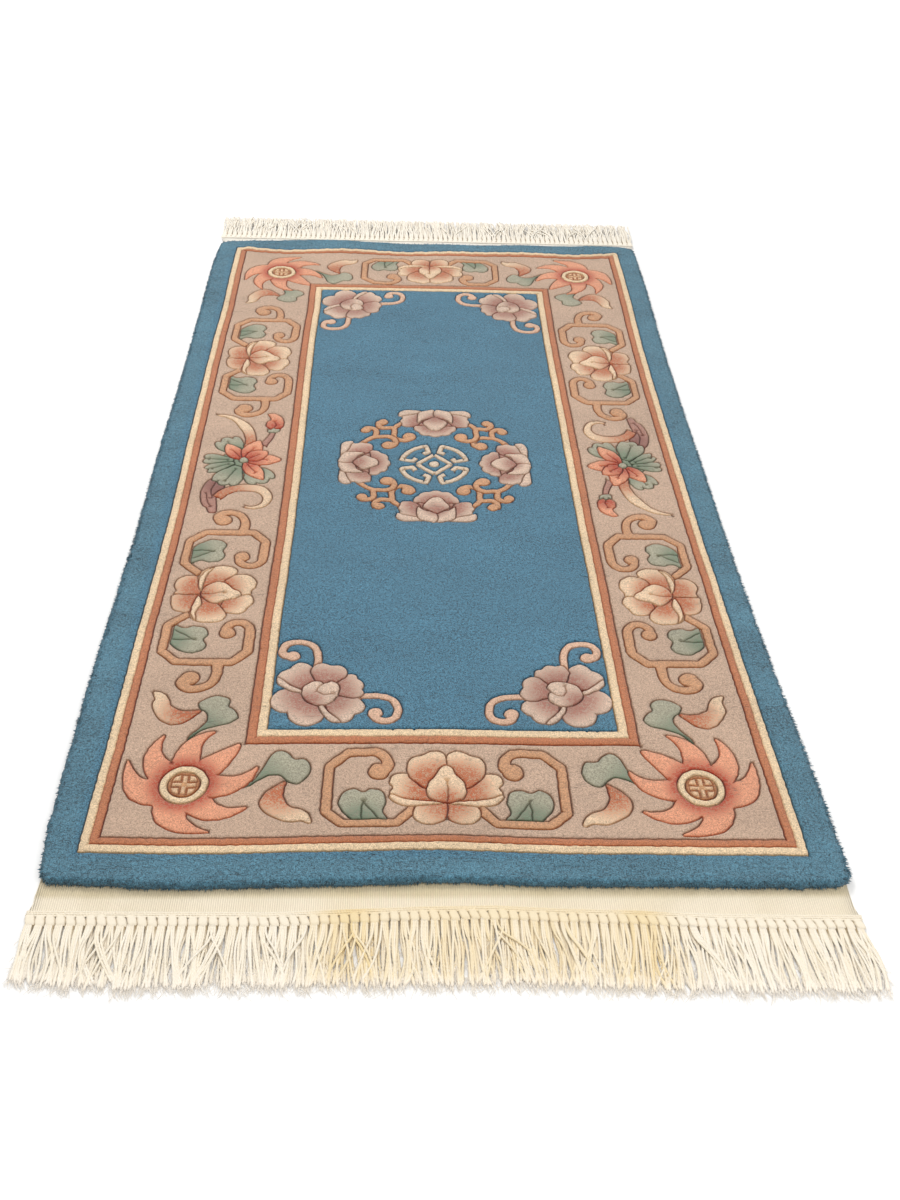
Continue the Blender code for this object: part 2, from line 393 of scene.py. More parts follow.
class Motif:
    """Patches in millimetres, painted one over another, with their cut lines."""

    def __init__(self):
        self.patches = []

    def add(self, outlines, yarn, rise=0.3, shade=None, cuts=(), edge=1.0):
        outlines = outlines if isinstance(outlines, list) else [outlines]
        group = object()
        for k, outline in enumerate(outlines):
            patch = Patch(np.array(outline, float), yarn, group, rise, shade, edge)
            patch.cuts = [even(cut, 2.8, False) for cut in cuts] if k == 0 else []
            self.patches.append(patch)

    def placed(self, x, y, turn=0.0, flip=False, swap=False, scale=1.0):
        """The same patches in metres on the rug: flipped in X, swapped X for Y, then turned."""
        c, s = math.cos(math.radians(turn)), math.sin(math.radians(turn))

        def move(points):
            p = np.array(points, float) * scale * MM
            if flip:
                p = p * (-1, 1)
            if swap:
                p = p[:, ::-1]
            return np.stack([x + c * p[:, 0] - s * p[:, 1], y + s * p[:, 0] + c * p[:, 1]], 1)

        groups = {}
        made = []
        for patch in self.patches:
            group = groups.setdefault(patch.group, object())
            shade = patch.shade
            if shade:
                centre = move([shade[:2]])[0]
                shade = (*centre, shade[2] * MM * scale, shade[3] * MM * scale)
            new = Patch(move(patch.outline), patch.yarn, group, patch.rise * MM, shade, patch.edge)
            new.cuts = [move(cut) for cut in patch.cuts]
            made.append(new)
        return made


def mirrored(points):
    return [(-x, y) for x, y in points]


def add_pair(m, part, yarn, rise, shade=None):
    """A part of a flower and its mirror image."""
    m.add(spline(part), yarn, rise, shade)
    m.add(spline(mirrored(part)), yarn, rise, shade and (-shade[0], *shade[1:]))


def border_peony():
    """Full flower of the short borders, seen from the front, with its outer side down."""
    m = Motif()
    foot = [(0, -22), (20, -22), (35, -27), (40, -35), (39, -46), (32, -54), (19, -57), (8, -53), (1, -46)]
    wing = [(12, -22), (26, 12), (40, 20), (46, 23), (59, 23), (67, 18), (69, 8), (64, 1), (68, -7), (58, -22)]
    roll = [(2, -23), (20, -20), (40, -18), (56, -14), (63, -10), (69, -10), (65, -19), (55, -26), (40, -28)]
    roll += [(20, -26)]
    crown = [(0, 4), (0, 47), (5, 56), (15, 59), (25, 55), (32, 51), (42, 48), (48, 37), (46, 20), (37, 9), (24, 0)]
    for part, rise, shade in (
        (foot, 0.3, (0, -20, 8, 46)),
        (wing, 0.2, (10, -8, 22, 54)),
        (crown, 0.5, (14, 0, 20, 54)),
        (roll, 0.9, None),
    ):
        add_pair(m, part, "peach", rise, shade)
    half = [(0, 36), (8, 32), (12, 22), (21, 10), (24, -2), (22, -13), (13, -20)]
    bud = half + [(0, -23)] + mirrored(half[:0:-1])
    m.add(spline(bud), "peach", 1.2, (0, -22, 4, 30), [[(1, 11), (2, 0), (2, -8), (1, -21)]])
    return m


def side_border_peony():
    """Full flower of the long borders, turned a little, with its outer side left."""
    m = Motif()
    m.add([disc(40, (0, 0))], "peach", 0.0, (0, 0, 20, 50))
    left = [(-18, 0), (-22, 24), (-27, 39), (-39, 42), (-49, 39), (-57, 31), (-59, 18), (-54, 6), (-55, -1)]
    low_left = [(-18, -1), (-55, -3), (-58, -12), (-57, -22), (-52, -35), (-39, -42), (-28, -40), (-22, -24)]
    right_up = [(9, 20), (14, 34), (27, 44), (43, 45), (54, 38), (59, 27), (58, 15), (53, 6), (52, -1), (24, 0)]
    right_low = [(24, 0), (52, -2), (59, -14), (56, -26), (52, -30), (48, -41), (38, -45), (25, -42), (13, -30)]
    low = [(-18, -8), (-26, -28), (-27, -47), (-18, -60), (0, -64), (17, -62), (24, -50), (21, -38), (8, -22)]
    high = [(-18, 12), (-27, 34), (-24, 50), (-15, 60), (2, 65), (17, 64), (27, 57), (27, 46), (16, 35), (4, 18)]
    for part, centre in (
        (low_left, (-24, -12)),
        (left, (-24, 14)),
        (right_low, (12, -14)),
        (right_up, (10, 14)),
        (low, (-2, -22)),
        (high, (-2, 20)),
    ):
        m.add(spline(part), "peach", 0.3, (*centre, 8, 40))
    for fold in (
        [(-20, -4), (-26, -26), (-25, -47), (-16, -59), (-19, -42), (-14, -22)],
        [(-18, 8), (-24, 20), (-25, 36), (-18, 52), (-6, 63), (-14, 46), (-17, 28)],
    ):
        m.add(spline(fold), "peach", 0.7)
    cup = [(-18, 0), (-15, 14), (-4, 25), (9, 27), (20, 20), (28, 11), (37, 5), (40, -4), (30, -11), (18, -14)]
    cup += [(8, -21), (-2, -20), (-12, -11)]
    m.add(spline(cup), "peach", 1.1, (-26, 0, 4, 44), [[(-16, 0), (-4, -1), (4, 1), (13, 4)]])
    return m


def heart_leaf(m, x, y, aside=False):
    """Two-lobed leaf that stands on its lower edge, or on its left edge."""
    lobes = [(-8, -24), (-20, -13), (-28, 2), (-24, 18), (-12, 25), (0, 20), (10, 25), (24, 20), (28, 4)]
    lobes += [(24, -10), (30, -23), (10, -24)]
    cuts = [[(1, 6), (-1, -8), (0, -23)], [(2, 4), (9, -6), (19, -21)]]
    if aside:
        lobes, *cuts = [[(b, a) for a, b in line] for line in (lobes, *cuts)]
    outline = [(x + px, y + py) for px, py in lobes]
    cuts = [[(x + px, y + py) for px, py in cut] for cut in cuts]
    away = (x - 26, y) if aside else (x, y - 26)
    m.add(spline(outline), "sage", 0.3, (*away, 6, 38), cuts)


def short_scroll():
    """Eight-sided scroll beside the flower of a short border, with its leaf."""
    m = Motif()
    heart_leaf(m, -100, -22)
    path = [(-37, -24), (-60, -51), (-122, -51), (-142, -32), (-142, 38), (-120, 60), (-96, 61)]
    end = [(-97, 61), (-84, 60), (-74, 51), (-72, 39), (-82, 30)]
    m.add(ribbon(path, (13, 13, 13), smooth=False) + ribbon(end, (13, 14, 20), bulb=13), "tan", 0.4)
    return m


def long_scroll():
    """Eight-sided scroll beside the flower of a long border, with a curl behind it."""
    m = Motif()
    heart_leaf(m, -20, -98, aside=True)
    path = [(-26, -42), (-53, -68), (-53, -122), (-31, -144), (43, -144), (62, -122), (62, -84)]
    hook = [(62, -88), (60, -72), (50, -62), (37, -63), (28, -74), (31, -84)]
    curl = [(24, -142), (26, -166), (21, -185), (8, -195), (-7, -196), (-18, -186), (-15, -178)]
    pieces = ribbon(path, (13, 13, 15), smooth=False)
    pieces += ribbon(hook, (15, 13, 14), bulb=11.5) + ribbon(curl, (16, 13, 16), bulb=0)
    pieces += [disc(13.5, (-8, -176))]
    m.add(pieces, "tan", 0.4, None, [[(6, -184), (8, -176), (4, -167), (-4, -162)]])
    return m


def corner_flower():
    """Seven-pointed flower whose petals lean to one direction, with a ringed disc."""
    m = Motif()
    axis = 46
    body = [disc(43, (-2, -2))]
    rows = ((150, 46, 107, 83), (100, 36, 69, 87), (50, 34, 27, 89))
    for root, wide, tip, reach in rows:
        for side in (1, -1):
            body.append(horn(axis + side * root, 30, wide, axis + side * tip, reach))
    body.append(horn(axis, 30, 34, axis + 2, 88))
    m.add(body, "coral", 0.2, (0, 0, 26, 50))
    m.add(disc(29), "cream", 0.7)
    m.add(disc(19.5), "brown", 0.0)
    bar = 2.7
    arm = 14
    plus = [(-bar, -arm), (bar, -arm), (bar, -bar), (arm, -bar), (arm, bar), (bar, bar)]
    plus += [(bar, arm), (-bar, arm), (-bar, bar), (-arm, bar), (-arm, -bar), (-bar, -bar)]
    m.add(polygon(plus, 2.6), "disc", 0.2, edge=0.4)
    for k in range(4):
        c, s = math.cos(math.radians(90 * k)), math.sin(math.radians(90 * k))
        corner = [(5.5, 5.5), (14.5, 5.5), (12.5, 11), (11, 12.5), (5.5, 14.5)]
        turned = [(x * c - y * s, x * s + y * c) for x, y in corner]
        m.add(polygon(turned, 2.6), "disc", 0.2, edge=0.4)
    return m


def corner_leaf():
    """Curled leaf and the peach curl under it, to the right of the corner flower."""
    m = Motif()
    curl = [(120, 6), (107, -2), (96, -14), (92, -28), (99, -41), (110, -50), (126, -58), (142, -57)]
    curl += [(155, -61), (152, -47), (143, -39), (128, -33), (120, -20), (119, -8)]
    m.add(spline(curl), "peach", shade=(116, -6, 8, 52))
    leaf = [(66, -5), (82, 10), (91, 30), (97, 46), (108, 54), (121, 47), (127, 40), (140, 40), (147, 28)]
    leaf += [(145, 13), (134, 1), (124, 3), (114, 13), (102, 15), (88, 8), (76, -2)]
    m.add(spline(leaf), "sage", shade=(72, -2, 14, 60))
    return m


def lotus_spray():
    """Lotus flower over its leaf, with a bud, a root and two pale ribbons."""
    m = Motif()
    root = [(-36, -44), (-52, -60), (-59, -82), (-58, -108), (-52, -128), (-45, -134), (-40, -148), (-29, -146)]
    root += [(-30, -128), (-33, -100), (-24, -86), (-24, -66), (-32, -58)]
    cuts = [[(-38, -62), (-44, -84), (-40, -106)], [(-50, -96), (-46, -116), (-40, -130)]]
    m.add(spline(root), "mauve", 0.2, (-32, -74, 6, 34), cuts)
    crescent = [(-32, -106), (-20, -90), (0, -80), (26, -80), (42, -90), (48, -108), (42, -126), (26, -134)]
    crescent += [(14, -130)]
    m.add(ribbon(crescent, (18, 19, 5)), "peach", 0.3, (-32, -100, 6, 76))
    sword = [(4, 36), (6, 62), (-1, 92), (-18, 118), (-36, 133), (-60, 140)]
    m.add(ribbon(sword, (17, 20, 3)), "peach", 0.3, (4, 46, 6, 52))
    stem = [(28, 46), (37, 68), (42, 90)]
    m.add(ribbon(stem, (13, 11, 9)), "mauve", 0.2)
    bud = [(42, 95), (29, 104), (28, 117), (35, 129), (28, 144), (42, 145), (55, 131), (58, 113), (54, 99)]
    m.add(spline(bud), "coral", 0.4, (43, 102, 4, 30), [[(42, 98), (45, 110), (42, 120)]])
    calyx = [(33, 86), (50, 87), (52, 98), (46, 96), (42, 101), (36, 96), (32, 98)]
    m.add(spline(calyx), "sage", 0.5)
    m.add(disc(33, (-8, -6)), "sage", 0.0, (0, 0, 20, 44))
    leaf = ((120, 25, 78, 3), (177, 18, 68, 2), (207, 16, 67, 2), (248, 26, 78, 3), (302, 27, 77, 3))
    for angle, spread, reach, lobes in leaf:
        rib = [polar(28, angle), polar(0.8 * reach, angle)]
        m.add(petal(angle, spread, reach, lobes, dent=0.1), "sage", 0.3, (0, 0, 26, 64), [rib])
    tips = ((125, 19, 58), (-57, 17, 66), (4, 20, 62), (70, 20, 64), (36, 26, 47))
    for angle, spread, reach in tips:
        a = math.radians(angle)
        across = Vector((-math.sin(a), math.cos(a)))
        along = Vector((math.cos(a), math.sin(a)))
        half = reach * math.radians(spread) * 0.66
        shape = [along * 3, along * reach * 0.32 + across * half, along * reach * 0.66 + across * half]
        shape += [along * reach, along * reach * 0.66 - across * half, along * reach * 0.32 - across * half]
        vein = [tuple(along * 14), tuple(along * reach * 0.6)]
        m.add(spline(shape), "coral", 0.7, (0, 0, 10, 46), [vein])
    m.add(disc(8), "sage_plain", 1.2)
    return m


def field_peony():
    """Pink flower in a corner of the field, with its two curled tendrils."""
    m = Motif()
    hook = [(-6, 44), (-6, 76), (-14, 95), (-31, 102), (-48, 98), (-54, 84), (-48, 73), (-39, 73)]
    for path in (hook, [(y, x) for x, y in hook]):
        m.add(ribbon(path, (11, 11, 12.5), bulb=10), "tendril", 0.2)
    low = (0, 0, 26, 60)
    m.add(disc(40), "pink", 0.0, (0, 0, 26, 48))
    m.add(petal(226, 56, 66, 2, dent=0.2, square=0.16), "pink", 0.2, low)
    m.add(petal(132, 31, 68, 2, square=0.2), "pink", 0.3, low)
    m.add(petal(-42, 31, 68, 2, square=0.2), "pink", 0.3, low)
    m.add(petal(18, 33, 60, 3, square=0.2), "pink", 0.4, low)
    m.add(petal(76, 33, 60, 2, square=0.2), "pink", 0.5, low)
    for side in (1, -1):
        fold = [(-14, 0), (-34, 12), (-55, 30), (-57, 22), (-50, 12), (-30, 1)]
        fold = fold if side > 0 else [(y, x) for x, y in fold]
        m.add(spline(fold), "pink", 0.9)
    bud = [(-12, -20), (-22, -6), (-22, 10), (-12, 21), (0, 22), (6, 18), (14, 23), (24, 16), (25, 0)]
    bud += [(17, -18), (2, -25)]
    m.add(spline(bud), "pink", 1.2, (-12, -16, 2, 26), [[(5, 19), (-2, 11), (-4, 2), (6, -4), (16, -2)]])
    return m


def side_peony():
    """Pink flower of the middle wreath, seen from the side, with its head up."""
    m = Motif()
    m.add(disc(34, (0, -4)), "pink", 0.0, (0, 0, 20, 44))
    wing = [(12, -30), (30, 6), (46, 12), (56, 9), (58, 0), (61, -8), (57, -18), (62, -32), (46, -40), (20, -42)]
    roll = [(20, -40), (34, -31), (50, -26), (62, -21), (63, -34), (54, -42), (40, -43)]
    cup = [(0, -44), (14, -43), (28, -36), (31, -20), (29, -2), (20, -12), (0, -21)]
    add_pair(m, wing, "pink", 0.2, (16, 2, 20, 44))
    m.add(petal(90, 78, 43, 5, root=0.4, dent=0.1, square=0.1), "pink", 0.4, (0, 0, 20, 42))
    add_pair(m, roll, "pink", 0.8)
    add_pair(m, cup, "pink", 0.9, (0, -10, 6, 26))
    bud = [(0, -21), (-13, -12), (-21, -2), (-14, 12), (-6, 22), (6, 22), (14, 12), (21, -2), (13, -12)]
    m.add(spline(bud), "pink", 1.3, (0, -20, 6, 32))
    return m


def wreath_scroll(aside):
    """Forked scroll that springs from the left of a wreath flower, head up: two arcs with round ends."""
    m = Motif()
    small, large = ((-94, 4), (-63, 33)) if aside else ((-85, 3), (-54, 37))
    fork = (large[0] - 17, small[1] + 13)
    path = arc(small, 13, 215, 95) + [fork] + arc(large, 17, 185, 20)
    stem = [(fork[0] + 23, -8), (fork[0] + 9, fork[1] - 13), fork]
    pieces = ribbon(path, (11.5, 10.5, 12)) + ribbon(stem, (11, 10, 11))
    pieces += [disc(9.5, polar(8, 230, small)), disc(12, polar(11, 25, large))]
    m.add(pieces, "tan", 0.4)
    return m


def round_fret():
    """Round ornament: four brackets that make a broken ring, round a diamond with a dot."""
    m = Motif()
    pieces = [disc(8.5)]
    for quarter in range(4):
        middle = 45 + 90 * quarter
        bracket = [polar(33, middle - 14), polar(35, middle - 31)]
        bracket += arc((0, 0), 53, middle - 31, middle + 31)
        bracket += [polar(35, middle + 31), polar(33, middle + 14)]
        pieces += ribbon(bracket, (9, 9, 9), smooth=False)
        pieces += ribbon([polar(27, middle - 45), polar(27, middle + 45)], (8, 8, 8), smooth=False)
    m.add(pieces, "fret", 0.3)
    return m


# Corner flowers in turn from the front left: place, then that of the leaf along X and of that along Y
CORNERS = (
    (-0.3118, -0.7115, (-0.3110, -0.7120), (-0.3150, -0.7070)),
    (0.3113, -0.7145, (0.3150, -0.7145), (0.3125, -0.7105)),
    (0.3103, 0.7095, (0.3100, 0.7100), (0.3130, 0.7170)),
    (-0.3106, 0.6995, (-0.3085, 0.7040), (-0.3120, 0.7100)),
)

# Scrolls of the short borders: place, turn and whether it is flipped
SHORT_SCROLLS = (
    (0.001, -0.7225, 0, False),
    (0.001, -0.7230, 0, True),
    (-0.0025, 0.7185, 180, False),
    (0.0045, 0.7180, 180, True),
)
# Flowers of the long borders: place, then how far along the scrolls on both sides of it lie
SIDE_FLOWERS = (
    (-0.3245, -0.348, -0.350, -0.344),
    (0.3245, -0.345, -0.348, -0.343),
    (-0.3240, 0.338, 0.338, 0.341),
    (0.3238, 0.340, 0.343, 0.345),
)


def all_patches():
    """Every patch of the pattern in its place, in the order in which one lies over another."""
    sizes = bpy.context.scene.rug_sizes
    step = sizes.stripe_step / MM

    def frame_patch(half_width, half_length, yarn, edge):
        corners = [(-half_width, -half_length), (half_width, -half_length)]
        corners += [(half_width, half_length), (-half_width, half_length)]
        outline = polygon([(x / MM, y / MM) for x, y in corners], step) * MM
        return Patch(outline, yarn, object(), 0.0, None, edge, np.array(corners))

    patches = [frame_patch(TOP_HALF_WIDTH, TOP_HALF_LENGTH, "blue", 0.0)]
    for half, yarn, edge in RINGS[:3]:
        patches.append(frame_patch(half, half + LONGER_BY, yarn, edge))
    peony, side_flower, flower, leaf = border_peony(), side_border_peony(), corner_flower(), corner_leaf()
    short, long, spray = short_scroll(), long_scroll(), lotus_spray()
    for x, y, turn, flip in SHORT_SCROLLS:
        patches += short.placed(x, y, turn, flip)
    for y, turn in ((-0.7190, 0), (0.7160, 180)):
        patches += peony.placed(0.001, y, turn)
    for x, y, low, high in SIDE_FLOWERS:
        patches += long.placed(x, low, 0, x > 0)
        patches += long.placed(x, high, 180, x < 0)
        patches += side_flower.placed(x, y, 0, x > 0)
    for quarter, (x, y, *leaves) in enumerate(CORNERS):
        # the leaf and curl beside each flower lie along both borders
        for swap, (aside, up) in zip((False, True), leaves[:: -1 if quarter % 2 else 1]):
            patches += leaf.placed(aside, up, 90 * quarter, False, swap)
        patches += flower.placed(x, y, 90 * quarter)
    for side in (-1, 1):
        patches += spray.placed(side * 0.3183, 0.0, 0 if side < 0 else 180)
    for half, yarn, edge in RINGS[3:]:
        patches.append(frame_patch(half, half + LONGER_BY, yarn, edge))
    pink = field_peony()
    for quarter, (x, y) in enumerate(((-0.1615, -0.554), (0.160, -0.554), (0.1595, 0.558), (-0.1575, 0.558))):
        patches += pink.placed(x, y, 90 * quarter)
    head = side_peony()
    for quarter, (x, y) in enumerate(((0.0, -0.122), (0.115, -0.001), (0.0, 0.121), (-0.117, -0.001))):
        scroll = wreath_scroll(quarter % 2)
        for flip in (False, True):
            patches += scroll.placed(x, y, 90 * quarter, flip)
        patches += head.placed(x, y, 90 * quarter)
    patches += round_fret().placed(-0.0025, -0.0035, scale=1.05)
    return patches


# The carved pile


def inside(points, loop):
    """Which points lie inside a closed loop."""
    x, y = points[:, 0, None], points[:, 1, None]
    a, b = loop, np.roll(loop, -1, 0)
    crosses = (a[:, 1] > y) != (b[:, 1] > y)
    rise = b[:, 1] - a[:, 1]
    rise = np.where(np.abs(rise) < 1e-15, 1e-15, rise)
    at = (b[:, 0] - a[:, 0]) * (y - a[:, 1]) / rise + a[:, 0]
    return (crosses & (x < at)).sum(1) % 2 == 1


def owners(points, patches):
    """The number of the topmost patch at each point, or -1."""
    owner = np.full(len(points), -1)
    for k, patch in enumerate(patches):
        loop = patch.outline if patch.test is None else patch.test
        low, high = loop.min(0), loop.max(0)
        near = np.where(((points >= low) & (points <= high)).all(1))[0]
        for part in np.array_split(near, max(1, len(near) // 20000)):
            if len(part):
                owner[part[inside(points[part], loop)]] = k
    return owner


def triangulated(points, edges):
    made = delaunay_2d_cdt([Vector(p) for p in points], edges, [], 0, 1e-7)
    return np.array([v[:] for v in made[0]]), np.array([list(t) for t in made[2]])


def visible_edges(points, triangles, owner, group):
    """Edges between two groups, each with the strength of the cut along it."""
    pairs = np.sort(np.concatenate([triangles[:, [0, 1]], triangles[:, [1, 2]], triangles[:, [2, 0]]]), axis=1)
    face = np.tile(np.arange(len(triangles)), 3)
    code = pairs[:, 0].astype(np.int64) * len(points) + pairs[:, 1]
    order = np.argsort(code, kind="stable")
    code, face, pairs = code[order], face[order], pairs[order]
    same = np.where(code[:-1] == code[1:])[0]
    f, g = face[same], face[same + 1]
    differs = group[f] != group[g]
    return pairs[same][differs], owner[f][differs], owner[g][differs]


def build_pattern():
    """Triangles of the carved pile: points, triangles, their patch, and each point's values."""
    sizes = bpy.context.scene.rug_sizes
    patches = all_patches()
    ids = {}
    group_of = np.array([ids.setdefault(id(p.group), len(ids)) for p in patches])
    points, edges = [], []
    for patch in patches:
        first = len(points)
        points += [tuple(p) for p in patch.outline]
        count = len(patch.outline)
        edges += [(first + k, first + (k + 1) % count) for k in range(count)]
    where, triangles = triangulated(points, edges)
    centres = where[triangles].mean(1)
    owner = owners(centres, patches)
    group = np.where(owner < 0, -1, group_of[owner])
    seams, one, other = visible_edges(where, triangles, owner, group)

    # points along the seams and beside them
    points, edges = [], []
    seam_points, seam_strength = [], []
    index = {}

    def corner(p):
        key = (round(p[0], 7), round(p[1], 7))
        if key not in index:
            index[key] = len(points)
            points.append((p[0], p[1]))
        return index[key]

    beside = []
    lines = []
    for (a, b), p, q in zip(seams, one, other):
        strength = patches[max(p, q)].edge if min(p, q) >= 0 else 0.0
        lines.append((where[a], where[b], strength))
    for patch in patches:
        for cut in patch.cuts:
            for a, b in zip(cut[:-1], cut[1:]):
                lines.append((a, b, 0.75))
    cut_tests = np.array([(a + b) / 2 for a, b, s in lines[len(seams) :]])
    cut_owner = owners(cut_tests, patches) if len(cut_tests) else np.array([])
    wanted = []
    k = 0
    for patch_number, patch in enumerate(patches):
        for cut in patch.cuts:
            for _ in range(len(cut) - 1):
                wanted.append(group_of[cut_owner[k]] == group_of[patch_number])
                k += 1
    kept = lines[: len(seams)] + [line for line, keep in zip(lines[len(seams) :], wanted) if keep]
    border = patches[0].outline
    kept += [(a, b, 0.0) for a, b in zip(border, np.roll(border, -1, 0))]
    for a, b, strength in kept:
        a, b = np.array(a), np.array(b)
        size = math.hypot(*(b - a))
        if size < 1e-7:
            continue
        count = max(1, int(math.ceil(size / (sizes.stripe_step * 1.1))))
        steps = [corner(a + (b - a) * k / count) for k in range(count + 1)]
        edges += [(p, q) for p, q in zip(steps, steps[1:]) if p != q]
        if strength == 0.0:
            continue
        many = max(1, int(math.ceil(size / 0.0011)))
        for k in range(many + 1):
            seam_points.append(a + (b - a) * k / many)
            seam_strength.append(strength)
        normal = np.array([-(b - a)[1], (b - a)[0]]) / size
        every = max(1, int(round(size / sizes.outline_step)))
        for k in range(every):
            at = a + (b - a) * (k + 0.5) / every
            for off in (GROOVE_FLOOR + 0.25 * sizes.groove_width, GROOVE_FLOOR + 0.9 * sizes.groove_width):
                for sign in (-1, 1):
                    beside.append((at + normal * off * sign, off))
    tree = kdtree.KDTree(len(seam_points))
    for k, p in enumerate(seam_points):
        tree.insert((p[0], p[1], 0), k)
    tree.balance()
    taken = set()
    for p, off in beside:
        if tree.find((p[0], p[1], 0))[2] < 0.8 * off:
            continue
        cell = (round(p[0] / (0.6 * off + 0.0004)), round(p[1] / (0.6 * off + 0.0004)), off)
        if cell in taken:
            continue
        taken.add(cell)
        points.append((p[0], p[1]))
    rng = random.Random(5)
    half_x, half_y = TOP_HALF_WIDTH, TOP_HALF_LENGTH
    step = sizes.fill_step
    rows = int(2 * half_y / (step * 0.866))
    for j in range(rows):
        y = -half_y + step * 0.5 + j * step * 0.866
        if y > half_y - step * 0.4:
            break
        x = -half_x + step * (0.5 if j % 2 else 0.9)
        while x < half_x - step * 0.4:
            px, py = x + rng.uniform(-0.2, 0.2) * step, y + rng.uniform(-0.2, 0.2) * step
            if tree.find((px, py, 0))[2] > 0.0040:
                points.append((px, py))
            x += step
    where, triangles = triangulated(points, edges)
    centres = where[triangles].mean(1)
    owner = owners(centres, patches)
    keep = owner >= 0
    triangles, owner = triangles[keep], owner[keep]
    far = np.empty(len(where))
    strength = np.empty(len(where))
    for k, p in enumerate(where):
        _, near, distance = tree.find((p[0], p[1], 0))
        far[k] = distance
        strength[k] = seam_strength[near]
    return patches, group_of, where, triangles, owner, far, strength


def heights(where, rise, far, strength, sink, uneven):
    """Height of the pile's top, with its rounded shoulders beside each cut."""
    sizes = bpy.context.scene.rug_sizes
    t = np.clip((far - GROOVE_FLOOR) / sizes.groove_width, 0, 1)
    low = 1 - np.sqrt(np.clip(1 - (1 - t) ** 2, 0, 1))
    x, y = where[:, 0], where[:, 1]
    full = PILE_TOP - 0.0002 + 0.0003 * lump(x, y) + 0.00010 * uneven
    # the outer stripe is longer in the pile and lies in clumps
    outer = np.clip((np.maximum(np.abs(x), np.abs(y) - LONGER_BY) - 0.418) / 0.006, 0, 1)
    full += outer * 0.0006 * np.sin(150 * x + 2 * np.sin(70 * y)) * np.sin(130 * y + 2 * np.sin(90 * x))
    # at the back it is longer still, and stands up
    back = np.clip((y - 0.835) / 0.018, 0, 1)
    full += back * (0.25 * np.maximum(0, looked_up(BACK_EDGE, x)) + 0.0005 * np.sin(170 * x + 3 * np.sin(41 * x)))
    swell = np.clip(far / 0.009, 0, 1) ** 0.6
    # the second value, how deep a point lies in its cut, is drawn darker by the wool as painted shade
    return full + (rise - sink) * swell - sizes.groove_depth * strength * low, low * strength


def new_object(name, points, faces, made_of, smooth=True):
    mesh = bpy.data.meshes.new(name)
    faces = faces.tolist() if isinstance(faces, np.ndarray) else faces
    mesh.from_pydata(np.asarray(points, float).tolist(), [], faces)
    mesh.materials.append(made_of)
    mesh.polygons.foreach_set("use_smooth", [smooth] * len(mesh.polygons))
    thing = bpy.data.objects.new(name, mesh)
    bpy.context.scene.collection.objects.link(thing)
    return thing


def give(thing, name, values):
    """Stores a value for each point of a piece, for its material."""
    kept = thing.data.attributes.new(name, "FLOAT", "POINT")
    kept.data.foreach_set("value", np.asarray(values, np.float32))


def build_pile():
    """The pile as one piece for each yarn colour, with the rim in the blue one."""
    patches, group_of, where, triangles, owner, far, strength = build_pattern()
    uneven = np.random.default_rng(3).normal(size=len(where)).clip(-2, 2)
    made = {}
    for yarn in sorted({p.yarn for p in patches}):
        mine = np.array([k for k, p in enumerate(patches) if p.yarn == yarn])
        chosen = np.isin(owner, mine)
        tris, own = triangles[chosen], owner[chosen]
        if not len(tris):
            continue
        keys = tris.astype(np.int64) + group_of[own][:, None].astype(np.int64) * len(where)
        unique, inverse = np.unique(keys.ravel(), return_inverse=True)
        faces = inverse.reshape(-1, 3)
        source = unique % len(where)
        patch_of = np.empty(len(unique), int)
        patch_of[faces.ravel()] = np.repeat(own, 3)
        at = where[source]
        rise = np.array([patches[k].rise for k in patch_of])
        shade = np.zeros(len(unique))
        for k in np.unique(patch_of):
            if patches[k].shade:
                cx, cy, near, outer = patches[k].shade
                these = patch_of == k
                away = np.hypot(at[these, 0] - cx, at[these, 1] - cy)
                shade[these] = np.clip((outer - away) / (outer - near), 0, 1)
        z, low = heights(at, rise, far[source], strength[source], 0.0012 * shade, uneven[source])
        a, b, c = (at[faces[:, k]] for k in range(3))
        turned = (b[:, 0] - a[:, 0]) * (c[:, 1] - a[:, 1]) < (b[:, 1] - a[:, 1]) * (c[:, 0] - a[:, 0])
        faces[turned] = faces[turned][:, ::-1]
        made[yarn] = [at, z, faces, shade, low]
    at, z, faces, shade, low = made["blue"]
    at, z, faces, shade, low = add_rim(at, z, faces, shade, low)
    made["blue"] = [at, z, faces, shade, low]
    pieces = []
    for yarn, (at, z, faces, shade, low) in made.items():
        x, y = stray(at[:, 0], at[:, 1])
        thing = new_object("pile_" + yarn, np.stack([x, y, z], 1), faces, wool(yarn))
        give(thing, "shade", shade)
        # low is painted shade: deepest in the cuts and at the bottom of the rounded edge
        give(thing, "low", low)
        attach(thing, "root")
        pieces.append(thing)
    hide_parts("pile")
    return pieces


# The pile's rounded edge from the top down: how far it lies outside the flat top, and its height
RIM = (
    (0.0030, 0.01455),
    (0.0056, 0.01385),
    (0.0074, 0.01255),
    (0.0086, 0.01080),
    (0.0092, 0.00860),
    (0.0090, 0.00640),
    (0.0078, 0.00440),
    (0.0055, 0.00325),
)


def fuller(x, y):
    """How much further the long sides of the pile bulge than its ends, as a share of the rim's own width."""
    if x > 0:
        return 0.5 * max(0.0, min(1.0, (-y - 0.55) / 0.25))
    fade = max(0.0, min(1.0, (TOP_HALF_LENGTH - abs(y)) / 0.08))
    return -fade * (0.45 + 0.45 * math.exp(-(((y + 0.48) / 0.22) ** 2)))


